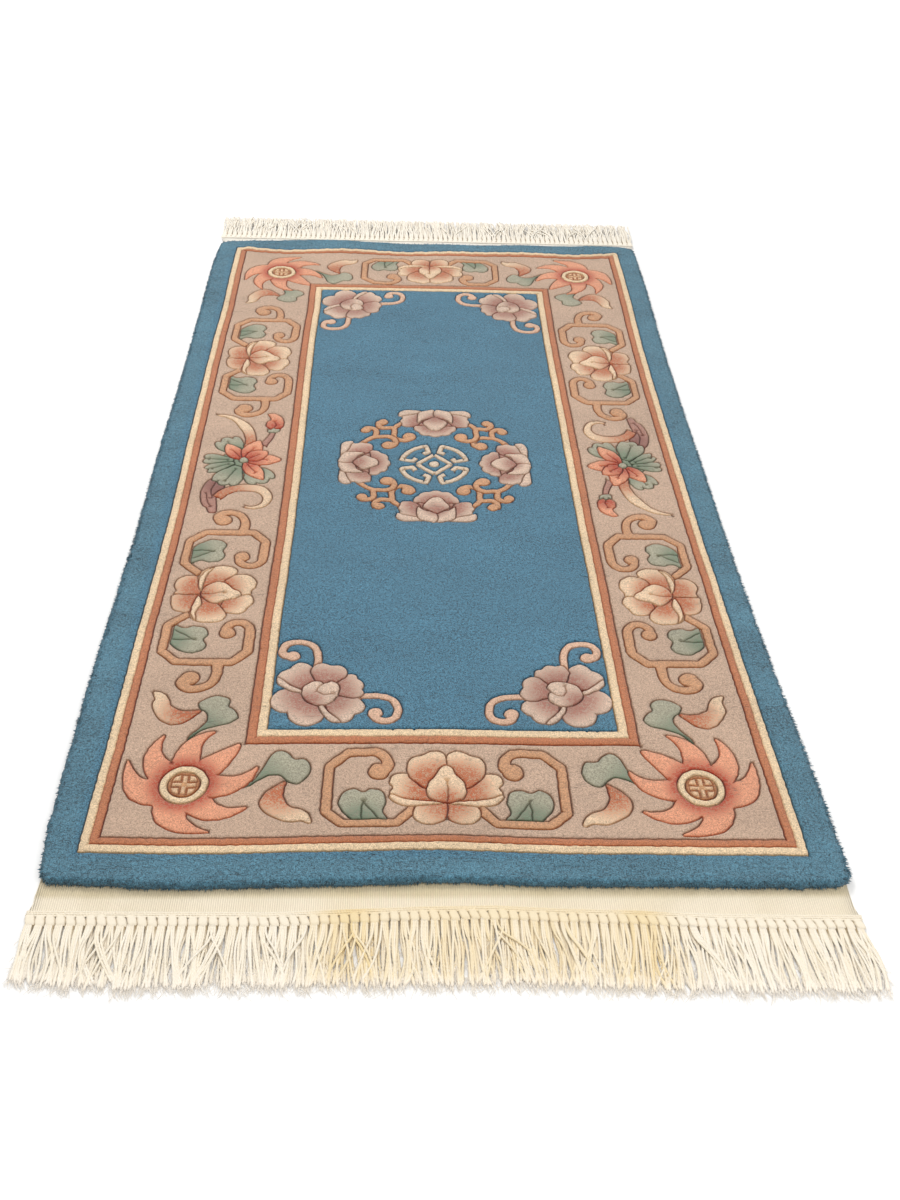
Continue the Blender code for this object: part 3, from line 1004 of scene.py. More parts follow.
def add_rim(at, z, faces, shade, low):
    """The rounded edge of the pile, from the top's border down to the cloth."""
    rng = random.Random(11)
    half_x, half_y = TOP_HALF_WIDTH, TOP_HALF_LENGTH
    on_edge = (np.abs(np.abs(at[:, 0]) - half_x) < 2e-6) | (np.abs(np.abs(at[:, 1]) - half_y) < 2e-6)
    ids = np.where(on_edge)[0]
    x, y = at[ids, 0], at[ids, 1]
    # order round the rectangle, anticlockwise from its front left corner
    side = np.select(
        [np.abs(y + half_y) < 2e-6, np.abs(x - half_x) < 2e-6, np.abs(y - half_y) < 2e-6],
        [x + half_x, 10 + y + half_y, 20 + half_x - x],
        30 + half_y - y,
    )
    ring = list(ids[np.argsort(side)])
    points = [tuple(p) for p in at]
    height = list(z)
    new_faces = []
    # clumps of uneven length: noise smoothed over a few points
    noise = np.array([rng.gauss(0, 1) for _ in ring])
    clump = sum(np.roll(noise, k) * math.exp(-((k / 1.6) ** 2)) for k in range(-3, 4))
    around = [points[k] for k in ring]
    for step, (outside, level) in enumerate(RIM):
        wide, long = half_x + outside, half_y + outside
        lower = []
        for n, (px, py) in enumerate(around):
            qx, qy = rounded(px * wide / half_x, py * long / half_y, wide, long, 0.007 + outside)
            ragged = 0.00035 * clump[n] + 0.0007 * rng.uniform(-1, 1)
            grow = 1 + ragged * math.sin(math.pi * (step + 1) / 9) / wide
            lower.append(len(points))
            qx, qy = qx * grow, qy * (1 + (grow - 1) * wide / long)
            if abs(px) >= half_x - 1e-5:
                qx += outside * fuller(px, py)
            points.append((qx, qy))
            taller = 0.25 * max(0.0, float(looked_up(BACK_EDGE, px))) if py >= half_y - 1e-5 else 0.0
            height.append(level * (1 + taller / PILE_TOP * (step < 5)) + 0.0003 * rng.uniform(-1, 1) * (step < 7))
        for n in range(len(ring)):
            after = (n + 1) % len(ring)
            new_faces.append((ring[n], lower[n], lower[after]))
            new_faces.append((ring[n], lower[after], ring[after]))
        ring = lower
    extra = len(points) - len(at)
    # painted shade: the rounded edge is drawn darker towards the bottom
    rim_shade = np.repeat(np.linspace(0.0, 0.9, len(RIM)) ** 1.5, extra // len(RIM))
    return (
        np.array(points),
        np.array(height),
        np.vstack([faces, np.array(new_faces)]),
        np.r_[shade, np.zeros(extra)],
        np.r_[low, rim_shade],
    )


def build_rim_tufts():
    """Loose ends of wool that stand out of the pile's edge."""
    sizes = bpy.context.scene.rug_sizes
    rng = random.Random(17)
    half_x, half_y = PILE_WIDTH / 2, PILE_LENGTH / 2
    around = 4 * (half_x + half_y)
    points, faces = [], []
    for _ in range(sizes.rim_tufts):
        at = rng.uniform(0, around)
        if at < 2 * half_x:
            x, y, out = at - half_x, -half_y, (0, -1)
        elif at < 2 * half_x + 2 * half_y:
            x, y, out = half_x, at - 2 * half_x - half_y, (1, 0)
        elif at < 4 * half_x + 2 * half_y:
            x, y, out = at - 3 * half_x - 2 * half_y, half_y, (0, 1)
        else:
            x, y, out = -half_x, at - 4 * half_x - 3 * half_y, (-1, 0)
        level = rng.choice(RIM[1:7])
        inset = RIM_TOP_INSET - level[0]
        x, y = rounded(x, y, half_x, half_y, RIM_RADIUS)
        x, y = x - out[0] * (inset + 0.0010), y - out[1] * (inset + 0.0010)
        if out[0]:
            x += level[0] * fuller(x, y)
        turn = rng.gauss(0, 0.45)
        way = Vector((out[0] - out[1] * turn, out[1] + out[0] * turn, rng.gauss(0.12, 0.35))).normalized()
        # the right side and the back are the most ragged
        ragged = 1.25 if out[0] > 0 or out[1] > 0 else 1.0
        size = sizes.rim_tuft_length * ragged * rng.uniform(0.45, 1.0)
        wide = 0.00055 * rng.uniform(0.7, 1.4)
        across = way.cross(Vector((0, 0, 1))).normalized() * wide
        up = across.cross(way).normalized() * wide
        root = Vector((x, y, level[1]))
        first = len(points)
        middle = root + way * size * 0.55 + Vector((0, 0, -0.0002))
        tip = root + way * size + Vector((0, 0, -0.0008))
        for centre, scale in ((root, 1.0), (middle, 0.8)):
            points += [centre + across * scale, centre - across * 0.5 * scale + up * scale]
            points += [centre - across * 0.5 * scale - up * scale]
        points.append(tip)
        for k in range(3):
            after = (k + 1) % 3
            faces.append((first + k, first + after, first + 3 + after, first + 3 + k))
            faces.append((first + 3 + k, first + 3 + after, first + 6))
    at = np.array([tuple(p) for p in points])
    at[:, 2] = np.clip(at[:, 2], 0.0036, 0.0160)
    at[:, 0], at[:, 1] = stray(at[:, 0], at[:, 1])
    thing = new_object("pile_edge_tufts", at, faces, wool("blue"))
    give(thing, "shade", np.zeros(len(at)))
    give(thing, "low", np.zeros(len(at)))
    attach(thing, "root")
    return thing


# Cotton


def lifted(y):
    """How far the cloth and the fringe stand off the floor at the back, where they curl up a little."""
    return BACK_LIFT * np.clip((np.asarray(y) - 0.862) / 0.026, 0, 1) ** 1.5


def build_ground():
    """The woven cotton ground, closed all round."""
    half_x = GROUND_WIDTH / 2
    half_y = PILE_LENGTH / 2 + END_BAND
    rng = random.Random(3)
    xs = list(np.linspace(-half_x, half_x, 61))
    inner = list(np.linspace(-PILE_LENGTH / 2 + 0.012, PILE_LENGTH / 2 - 0.012, 41))
    band = [0.0, 0.0006, 0.0015, 0.004, 0.008, 0.013, 0.018, 0.023, 0.028, 0.033, 0.038]
    ys = [-half_y + b for b in band] + inner + [half_y - b for b in reversed(band)]
    points, faces = [], []
    for layer in (1, 0):
        for y in ys:
            for x in xs:
                z = 0.0
                if layer:
                    edge = half_y - abs(y)
                    z = GROUND_THICKNESS - 0.0006 * math.exp(-edge / 0.0012)
                    if edge < 0.040:
                        wave = math.sin(23 * x + (0 if y < 0 else 2)) * math.sin(math.pi * min(1, edge / 0.04))
                        z += 0.0005 * wave + 0.00012 * rng.uniform(-1, 1)
                    z = min(z, 0.0036) if edge < 0.034 else min(z, GROUND_THICKNESS)
                points.append((x, y, z))
    nx, ny = len(xs), len(ys)
    for j in range(ny - 1):
        for i in range(nx - 1):
            a = j * nx + i
            faces.append((a, a + 1, a + 1 + nx, a + nx))
            b = a + nx * ny
            faces.append((b, b + nx, b + nx + 1, b + 1))
    around = list(range(nx)) + [j * nx + nx - 1 for j in range(1, ny)]
    around += [(ny - 1) * nx + i for i in range(nx - 2, -1, -1)] + [j * nx for j in range(ny - 2, 0, -1)]
    for k in range(len(around)):
        a, b = around[k], around[(k + 1) % len(around)]
        faces.append((a, a + nx * ny, b + nx * ny, b))
    at = np.array(points)
    sizes = bpy.context.scene.rug_sizes
    # the woven ends are a little wider than the cloth under the pile, and widest at the knots
    beyond = np.abs(at[:, 1]) - PILE_LENGTH / 2
    widths = (GROUND_WIDTH, 0.910, 0.911, sizes.header_width)
    at[:, 0] *= np.interp(beyond, (-0.03, -0.01, 0.02, 0.031), widths) / GROUND_WIDTH
    at[:, 0] = stray(at[:, 0], at[:, 1])[0]
    at[:, 1] += np.clip(beyond / END_BAND, 0, 1) * np.where(at[:, 1] < 0, looked_up(FRONT_KNOTS, at[:, 0]), 0)
    at[:, 2] += lifted(at[:, 1])
    thing = new_object("woven_ground", at, faces, cotton("ground"))
    give(thing, "stain", [0.35 * (stain_at(x, -1) - 0.33) * (y < 0) for x, y in at[:, :2]])
    give(thing, "clean", at[:, 1] > 0)
    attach(thing, "root")
    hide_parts("foundation")
    return thing


class Tubes:
    """Gathers tubes into one mesh. Each point has three values: how stained and how untwisted it is, and how much
    painted shade it takes.
    """

    def __init__(self):
        self.points, self.faces, self.values = [], [], []

    def add(self, line, radii, sides=6, twist=0.0, lobe=0.0, squash=1.0, stain=0.0, loose=0.0, painted_shade=0.0):
        """A tube along the line. lobe pinches it to two plies, which twist round it."""
        line = np.array(line, float)
        ahead = np.gradient(line, axis=0)
        ahead /= np.linalg.norm(ahead, axis=1)[:, None]
        across = np.cross(ahead, (0, 0, 1))
        across /= np.maximum(1e-9, np.linalg.norm(across, axis=1))[:, None]
        up = np.cross(across, ahead)
        far = np.r_[0, np.cumsum(np.linalg.norm(np.diff(line, axis=0), axis=1))]
        values = np.stack(np.broadcast_arrays(stain, loose, painted_shade, far)[:3], 1)
        first = len(self.points)
        for k, centre in enumerate(line):
            turn = 2 * math.pi * far[k] / twist if twist else 0.0
            for s in range(sides):
                a = 2 * math.pi * s / sides
                r = radii[k] * (1 - lobe * abs(math.sin(a)) ** 1.5)
                b = a + turn
                self.points.append(centre + r * math.cos(b) * across[k] + r * squash * math.sin(b) * up[k])
                self.values.append(values[k])
        last = first + (len(line) - 1) * sides
        for k in range(len(line) - 1):
            base = first + k * sides
            for s in range(sides):
                t = (s + 1) % sides
                self.faces.append((base + s, base + t, base + sides + t, base + sides + s))
        self.faces.append(tuple(range(first + sides - 1, first - 1, -1)))
        self.faces.append(tuple(range(last, last + sides)))

    def made(self, name, made_of):
        """The piece with all the tubes."""
        at = np.array(self.points)
        at[:, 2] = np.maximum(at[:, 2], YARN_FLOOR)
        thing = new_object(name, at, self.faces, made_of)
        for k, value in enumerate(("stain", "loose", "painted_shade")):
            give(thing, value, [values[k] for values in self.values])
        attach(thing, "root")
        return thing


def stain_at(x, end):
    """How yellow the fringe is at a place along one end."""
    if end > 0:
        return 0.16
    spots = ((-0.11, 0.035, 0.6), (-0.02, 0.05, 0.3), (0.06, 0.05, 0.3), (0.215, 0.03, 0.5), (0.14, 0.05, 0.3))
    return min(1.0, 0.33 + sum(s * math.exp(-(((x - c) / w) ** 2)) for c, w, s in spots))


def knot_line(x, end):
    """How far the row of knots lies from the rug's middle at a place across the rug."""
    start = PILE_LENGTH / 2 + END_BAND
    return start - float(looked_up(FRONT_KNOTS, x)) if end < 0 else start


def build_header(end, name):
    """Twined rows on the cloth's edge and the row of knots at one end."""
    sizes = bpy.context.scene.rug_sizes
    rng = random.Random(23 + end)
    half = sizes.header_width / 2
    up = BACK_LIFT if end > 0 else 0.0
    tubes = Tubes()
    for row in range(3):
        for ply in range(2):
            line = []
            count = 440
            for k in range(count + 1):
                x = -half + 2 * half * k / count
                a = 2 * math.pi * x / 0.0066 + math.pi * ply + row * 2.2
                y = knot_line(x, end) - 0.0040 + 0.0024 * row + 0.0007 * math.cos(a)
                z = 0.0030 + 0.0005 * math.sin(a) - (0.0005 if row == 2 else 0)
                line.append((x, end * y, z + up))
            tubes.add(line, [0.0008] * len(line), 5, stain=[stain_at(x, end) for x, y, z in line])
    pitch = 2 * half / sizes.knots
    across, along = 12, 10
    for knot in range(sizes.knots):
        middle = -half + pitch * (knot + 0.5)
        start = knot_line(middle, end)
        lean = 0.0030 + 0.0014 * math.sin(knot * 0.35 + end) + 0.0012 * rng.uniform(-1, 1)
        depth = sizes.knot_depth * rng.uniform(0.94, 1.05)
        tall = 0.0042 * rng.uniform(0.94, 1.06)
        wide = pitch * rng.uniform(0.99, 1.03) / 2
        slant = rng.uniform(-0.6, 0.6)
        dark, place = rng.uniform(0.2, 1.0), rng.uniform(0.05, 0.4)
        first = len(tubes.points)
        stain = stain_at(middle, end)
        for j in range(along + 1):
            v = j / along
            for i in range(across + 1):
                u = 2 * i / across - 1
                # full where it leaves the cloth, and round at its sides and its outer end
                crown = (1 - 0.8 * abs(u) ** 8) ** 0.5 * (1 - 0.5 * v**10)
                wrap = 0.00022 * math.sin(v * 13 + u * (2.2 + slant) + knot)
                narrow = 1 - 0.14 * math.exp(-(((v - 0.14) / 0.09) ** 2)) - 0.16 * v**5
                x = middle + u * wide * narrow + lean * (v - 0.5)
                y = start - 0.0004 + (depth + 0.0010) * v + 0.0005 * math.sin(knot * 1.7)
                swell = 0.0029 + (tall - 0.0029) * min(1.0, 2.5 * v)
                tubes.points.append(np.array((x, end * y, 0.0003 + up + (swell + wrap) * crown)))
                # painted shade: each knot is drawn a little darker all over, darker in the slots between knots, and
                # with a darker spot in each slot
                knot_shade = 0.08 + 0.40 * abs(u) ** 8 + dark * abs(u) ** 4 * math.exp(-(((v - place) / 0.10) ** 2))
                tubes.values.append((stain, 0.0, min(1.0, knot_shade)))
        for j in range(along):
            for i in range(across):
                a = first + j * (across + 1) + i
                quad = (a, a + 1, a + across + 2, a + across + 1)
                tubes.faces.append(quad if end > 0 else quad[::-1])
    return tubes.made(name, cotton("yarn"))


def build_yarns(end, name):
    """Twisted yarns of one end, in locks of one knot each, untwisted at their ends, with loose fibres."""
    sizes = bpy.context.scene.rug_sizes
    rng = random.Random(41 + end)
    half = sizes.header_width / 2
    pitch = 2 * half / sizes.knots
    yarns, fibres = Tubes(), Tubes()
    radius = sizes.yarn_radius
    up = BACK_LIFT if end > 0 else 0.0
    flow = 0.0
    for knot in range(sizes.knots):
        middle = -half + pitch * (knot + 0.5)
        root = knot_line(middle, end) + sizes.knot_depth - 0.0016
        reach = (float(looked_up(FRONT_TIPS, middle)) if end < 0 else 0.990) - root
        # the direction drifts from lock to lock, and each lock has a bend of its own
        flow = 0.75 * flow + rng.gauss(0, 0.045)
        lean = flow + 0.05 * math.sin(knot * 0.21 + 1.5 * end) + (0.03 if end < 0 else 0.0)
        back = rng.gauss(0, 0.07) - 1.1 * flow
        curl, phase = rng.gauss(0, 0.10), rng.uniform(0, 6.28)
        crossing = rng.random() < 0.07
        for n in range(8):
            over = n < 4
            # those underneath show between two locks
            if not over and knot == sizes.knots - 1:
                continue
            offset = ((n - 1.5) / 4 if over else (n - 3.5) / 4 + rng.uniform(-0.08, 0.08)) * pitch
            heading = (lean if over else 0.4 * lean) + rng.gauss(0, 0.06)
            bend = (back if over else 0.4 * back) + rng.gauss(0, 0.09)
            own = curl + rng.gauss(0, 0.10)
            lift = rng.uniform(0, 0.0010) if over else 0.0
            if over and (crossing or rng.random() < 0.04):
                away = rng.choice((-1, 1)) * rng.uniform(0.3, 0.7)
                heading += away
                bend -= 0.5 * away
                lift += 0.0024
            size = reach * rng.uniform(0.94, 1.01) * (1.0 if over else 0.95)
            level = radius * (2.0 if over else 1.0)
            # the far end's yarns stand a little off the floor towards their tips
            rise = rng.uniform(0.002, 0.0065) if end > 0 else 0.0
            count = 18
            line = []
            x, y = middle, root
            for k in range(count + 1):
                t = k / count
                angle = heading * min(1, t * 3) + bend * t + own * math.sin(phase + 4.4 * t) * min(1, t * 4)
                z = up + radius + (level - radius) * min(1.0, 0.3 + 4 * t) - 0.0008 * t * over
                z += lift * math.sin(math.pi * min(1, t * 1.1)) ** 2 + rise * t * t
                line.append([x + offset * (0.66 + 0.40 * min(1, t * 2.0) if over else 1.0), y, z])
                x += math.sin(angle) * size / count
                y += math.cos(angle) * size / count
            # the outermost yarns stay near the side of the cloth
            past = max(0.0, line[-1][0] - half - 0.003) + min(0.0, line[-1][0] + half - 0.001)
            line = [(px - past * (k / count) ** 1.5, end * py, pz) for k, (px, py, pz) in enumerate(line)]
            stain = stain_at(middle, end) * rng.uniform(0.6, 1.15)
            thick = radius * rng.uniform(0.92, 1.08)
            untwisted = [min(1.0, max(0.0, 1 - (1 - k / count) * size / sizes.fray_length)) for k in range(count + 1)]
            flare = rng.uniform(0.1, 0.5)
            radii = [thick * (1 + flare * math.sin(math.pi * u * 0.9)) * (1 - 0.8 * u**5) for u in untwisted]
            at = np.arange(count + 1) / count
            # painted shade: each yarn is darker next to its knot, and the yarns underneath are darker all along and
            # most at their roots
            lock_shade = 0.12 * np.exp(-((at / 0.06) ** 2)) if over else 0.15 + 0.85 * np.exp(-((at / 0.16) ** 2))
            yarns.add(line, radii, 6 if end < 0 else 5, sizes.yarn_twist, 0.08, 0.9, stain, untwisted, lock_shade)
            ahead = (Vector(line[-1]) - Vector(line[-2])).normalized()
            sideways = Vector((-ahead.y, ahead.x, 0))
            for strand in range(9 if end < 0 else 4):
                # fine fibres leave the last third of the yarn and lie on the floor beside and past its end
                early = strand % 4 == 3
                at = Vector(line[count - int(rng.uniform(4, 13) if early else rng.uniform(0, 6))])
                turn = rng.gauss(0, 0.8 if early else 0.35)
                direction = (ahead + sideways * turn).normalized()
                far = rng.uniform(0.006, 0.015)
                hook = rng.gauss(0, 0.35)
                begin = at + sideways * rng.uniform(-2, 2) * radius
                path = []
                for k in range(3):
                    t = k / 2
                    spot = begin + direction * far * t + sideways * hook * far * t * t
                    path.append((spot.x, spot.y, max(0.0005, at.z * (1 - 0.7 * t) + 0.0008 * rng.random())))
                fibres.add(path, [0.00036, 0.00034, 0.00012], 3, stain=stain * 0.5, loose=1.0)
    return yarns.made(name, cotton("yarn")), fibres.made(name + "_fibres", cotton("yarn"))


# Materials


def add(tree, kind, *values, out=0, **settings):
    """Adds a node. Its values go to its inputs in turn, and its settings to properties or named inputs."""
    node = tree.nodes.new("ShaderNode" + kind)
    named = []
    for name, value in settings.items():
        if hasattr(node, name):
            setattr(node, name, value)
        else:
            named.append((node.inputs[name.replace("_", " ")], value))
    used = [socket for socket in node.inputs if socket.enabled]
    for socket, value in [*zip(used, values), *named]:
        if isinstance(value, bpy.types.NodeSocket):
            tree.links.new(value, socket)
        else:
            socket.default_value = value
    return node.outputs[out] if isinstance(out, str) else [s for s in node.outputs if s.enabled][out]


def start_material(name):
    made = bpy.data.materials.new(name)
    made.use_nodes = True
    tree = made.node_tree
    return made, tree, tree.nodes["Principled BSDF"]


def set_shader(tree, shader, inputs):
    """Sets or links the inputs of a material's shader."""
    for name, value in inputs.items():
        if isinstance(value, bpy.types.NodeSocket):
            tree.links.new(value, shader.inputs[name])
        else:
            shader.inputs[name].default_value = value


WOOLS = {}


def wool(yarn):
    """Hand-knotted wool, cut and brushed. To the eye it is dull, soft at its edges and full of small shades."""
    if yarn in WOOLS:
        return WOOLS[yarn]
    sizes, colours = bpy.context.scene.rug_sizes, bpy.context.scene.rug_colours
    base = yarn.replace("_plain", "")
    blue = base == "blue"
    light = (*getattr(colours, base), 1.0)
    dark = (*getattr(colours, base + "_dark"), 1.0)
    made, tree, shader = start_material("knotted wool, " + yarn.replace("_", " "))
    place = add(tree, "TexCoord", out="Object")
    # single tufts are about 1.2 mm wide, too fine to show, so the grain is drawn at 1.6 mm
    tuft = 1 / sizes.tuft_width
    fine = add(tree, "TexNoise", place, Scale=tuft, Detail=2.0, Roughness=0.7)
    fine = add(tree, "MapRange", fine, 0.34, 0.66)
    clumps = add(tree, "TexNoise", place, Scale=tuft * 0.42, Detail=1.0)
    clumps = add(tree, "MapRange", clumps, 0.32, 0.68)
    wide = add(tree, "Mapping", place, Scale=(0.45, 1.0, 1.0))
    patchy = add(tree, "TexNoise", wide, Scale=16.0, Detail=3.0)
    patchy = add(tree, "MapRange", patchy, 0.3, 0.7)
    outer = outer_stripe(tree, place)
    cracks = parted_rows(tree, place, outer)
    shade = add(tree, "Attribute", attribute_name="shade", out="Fac")
    low = add(tree, "Attribute", attribute_name="low", out="Fac")
    # the shaded parts of petals and leaves are mixed from tufts of both colours
    both = add(tree, "Math", clumps, 0.45, fine, operation="MULTIPLY_ADD")
    speckled = add(tree, "Math", both, 1.8, -1.188, operation="MULTIPLY_ADD")
    mixed = add(tree, "Math", speckled, shade, shade, operation="MULTIPLY_ADD", use_clamp=True)
    mixed = add(tree, "Math", mixed, 1.15, operation="POWER")
    if blue:
        # the outer stripe is drawn in a lighter, greyer blue, and a little brighter in value below
        light = add(tree, "Mix", outer, light, (*colours.blue_outer, 1.0), data_type="RGBA")
    colour = add(tree, "Mix", mixed, light, dark, data_type="RGBA")
    # painted shade: wool deep in a cut, and low on the pile's rounded edge, is drawn darker and stronger in colour
    shade_gamma = add(tree, "Math", low, 0.6 if blue else 1.3, 1.0, operation="MULTIPLY_ADD")
    colour = add(tree, "Gamma", colour, shade_gamma)
    # pale wools show less of their grain than the blue one
    grain, clumped = (1.25, 0.42) if blue else (0.62, 0.20)
    coarse = add(tree, "Math", outer, 0.08, clumped, operation="MULTIPLY_ADD")
    uneven = add(tree, "Math", outer, 0.22, 0.14, operation="MULTIPLY_ADD")
    value = add(tree, "Math", outer, 0.06, 1.0, operation="MULTIPLY_ADD")
    for source, amount in ((fine, grain), (clumps, coarse), (patchy, uneven)):
        centred = add(tree, "Math", source, 0.5, operation="SUBTRACT")
        value = add(tree, "Math", centred, amount, value, operation="MULTIPLY_ADD")
    # painted shade: darker in the cracks where the pile has parted, and deep in each cut
    for source, amount in ((cracks, -0.30), (low, -0.27)):
        value = add(tree, "Math", source, amount, value, operation="MULTIPLY_ADD")
    colour = add(tree, "Mix", 1.0, colour, value, data_type="RGBA", blend_type="MULTIPLY")
    height = add(tree, "Math", clumps, 0.3, fine, operation="MULTIPLY_ADD")
    height = add(tree, "Math", height, cracks, operation="SUBTRACT")
    bump = add(tree, "Bump", Height=height, Strength=1.0, Distance=0.0010 if blue else 0.0006)
    look = {"Base Color": colour, "Normal": bump, "Roughness": 0.95, "Specular IOR Level": 0.12}
    set_shader(tree, shader, {**look, "Sheen Weight": 0.2, "Sheen Roughness": 0.6})
    WOOLS[yarn] = made
    return made


def outer_stripe(tree, place):
    """1 on the outer blue stripe, where the pile is longer and lies in clumps, and 0 elsewhere."""
    x, y = (add(tree, "SeparateXYZ", place, out=axis) for axis in "XY")
    far_x = add(tree, "Math", add(tree, "Math", x, 0.006), operation="ABSOLUTE")
    far_y = add(tree, "Math", y, operation="ABSOLUTE")
    far_y = add(tree, "Math", far_y, LONGER_BY, operation="SUBTRACT")
    far = add(tree, "Math", far_x, far_y, operation="MAXIMUM")
    return add(tree, "MapRange", far, 0.416, 0.426)


def parted_rows(tree, place, outer):
    """Short thin cracks along the wefts, in a few places, where the pile has parted. The wool sinks them and darkens
    them with painted shade.
    """
    stretch = add(tree, "Mapping", place, Scale=(0.16, 1.0, 1.0))
    # the cracks are about 6 mm apart, and a third of a millimetre wide where they are cut to lines
    lines = add(tree, "TexNoise", stretch, Scale=170.0, Detail=1.0, Roughness=0.5)
    lines = add(tree, "Math", lines, 0.5, operation="SUBTRACT")
    lines = add(tree, "Math", lines, operation="ABSOLUTE")
    thin = add(tree, "MapRange", lines, 0.0, 0.030, 1.0, 0.0)
    pieces = add(tree, "TexNoise", place, Scale=75.0, Detail=0.0)
    pieces = add(tree, "MapRange", pieces, 0.47, 0.55)
    thin = add(tree, "Math", thin, pieces, operation="MULTIPLY")
    where = add(tree, "TexNoise", stretch, Scale=24.0, Detail=2.0)
    where = add(tree, "Math", outer, 0.12, where, operation="MULTIPLY_ADD")
    where = add(tree, "MapRange", where, 0.56, 0.64)
    return add(tree, "Math", thin, where, operation="MULTIPLY")


COTTONS = {}
COTTON_SHADES = ("cotton", "cotton_dark", "yarn", "yarn_stain", "painted_shade", "fray")


def cotton(kind):
    """Cotton, plain-woven or twisted to yarn. To the eye it is a dull cream with fine threads and yellow stains."""
    if kind in COTTONS:
        return COTTONS[kind]
    sizes, colours = bpy.context.scene.rug_sizes, bpy.context.scene.rug_colours
    shades = {name: (*getattr(colours, name), 1.0) for name in COTTON_SHADES}
    names = {"ground": "plain-woven cotton", "yarn": "twisted cotton yarn"}
    made, tree, shader = start_material(names[kind])
    place = add(tree, "TexCoord", out="Object")
    # single fibres are too fine to show, so the grain is drawn at about 1.1 mm
    fine = add(tree, "TexNoise", place, Scale=900.0, Detail=2.0)
    value = add(tree, "Math", fine, 0.16, 0.92, operation="MULTIPLY_ADD")
    stain = add(tree, "Attribute", attribute_name="stain", out="Fac")
    if kind == "ground":
        x, y = (add(tree, "SeparateXYZ", place, out=axis) for axis in "XY")
        threads = []
        # the wefts are 1.6 mm apart
        for along, pitch in ((x, sizes.warp_pitch), (y, 0.0016)):
            wave = add(tree, "Math", along, math.pi / pitch, operation="MULTIPLY")
            wave = add(tree, "Math", wave, operation="SINE")
            threads.append(add(tree, "Math", wave, operation="ABSOLUTE"))
        warps, wefts = threads
        height = add(tree, "Math", wefts, 0.35, warps, operation="MULTIPLY_ADD")
        # painted shadow: the cloth next to the pile is drawn darker, in the pile's shade, and noise adds uneven
        # darker patches
        away = add(tree, "Math", y, operation="ABSOLUTE")
        edge = PILE_LENGTH / 2
        shaded = add(tree, "MapRange", away, edge + 0.006, edge + 0.012, 0.75, 0.0)
        broad = add(tree, "TexNoise", place, Scale=14.0, Detail=3.0)
        broad = add(tree, "Math", broad, 0.45, operation="SUBTRACT", use_clamp=True)
        shaded = add(tree, "Math", broad, 0.9, shaded, operation="MULTIPLY_ADD", use_clamp=True)
        clean = add(tree, "Attribute", attribute_name="clean", out="Fac")
        colour = shades["cotton"]
        for factor, other in ((clean, "yarn"), (shaded, "cotton_dark"), (stain, "yarn_stain")):
            colour = add(tree, "Mix", factor, colour, shades[other], data_type="RGBA")
        # painted shade in the grooves between the warps
        between = add(tree, "Math", 0.45, warps, operation="SUBTRACT", use_clamp=True)
        value = add(tree, "Math", between, -0.30, value, operation="MULTIPLY_ADD")
        bump = add(tree, "Bump", Height=height, Strength=0.9, Distance=0.0007)
    else:
        loose = add(tree, "Attribute", attribute_name="loose", out="Fac")
        painted_shade = add(tree, "Attribute", attribute_name="painted_shade", out="Fac")
        some = add(tree, "Math", loose, 0.6, operation="MULTIPLY")
        colour = shades["yarn"]
        # the last colour mixed in is painted shade, between the locks and between the knots
        for factor, other in ((stain, "yarn_stain"), (some, "fray"), (painted_shade, "painted_shade")):
            colour = add(tree, "Mix", factor, colour, shades[other], data_type="RGBA")
        bump = add(tree, "Bump", Height=fine, Strength=0.4, Distance=0.0003)
        # loose fibres let some light through; here they glow a little, as painted light, so they are bright instead
        # of standing in their own shade
        glow = add(tree, "Math", loose, 0.075, operation="MULTIPLY")
        set_shader(tree, shader, {"Emission Color": shades["fray"], "Emission Strength": glow})
        # they light nothing else, which keeps the render quick
        made.cycles.emission_sampling = "NONE"
    colour = add(tree, "Mix", 1.0, colour, value, data_type="RGBA", blend_type="MULTIPLY")
    look = {"Base Color": colour, "Normal": bump, "Roughness": 0.92, "Specular IOR Level": 0.15, "Sheen Weight": 0.2}
    set_shader(tree, shader, look)
    COTTONS[kind] = made
    return made


# Stage


# The camera fitted to the photo: its place in metres, its directions and its lens in millimetres
CAMERA_PLACE = (-0.0579, -1.6643, 1.0979 + PILE_TOP)
CAMERA_FORWARD = (0.04247, 0.76291, -0.64511)
CAMERA_RIGHT = (0.99906, -0.02678, 0.03411)
CAMERA_LENS = 35.64


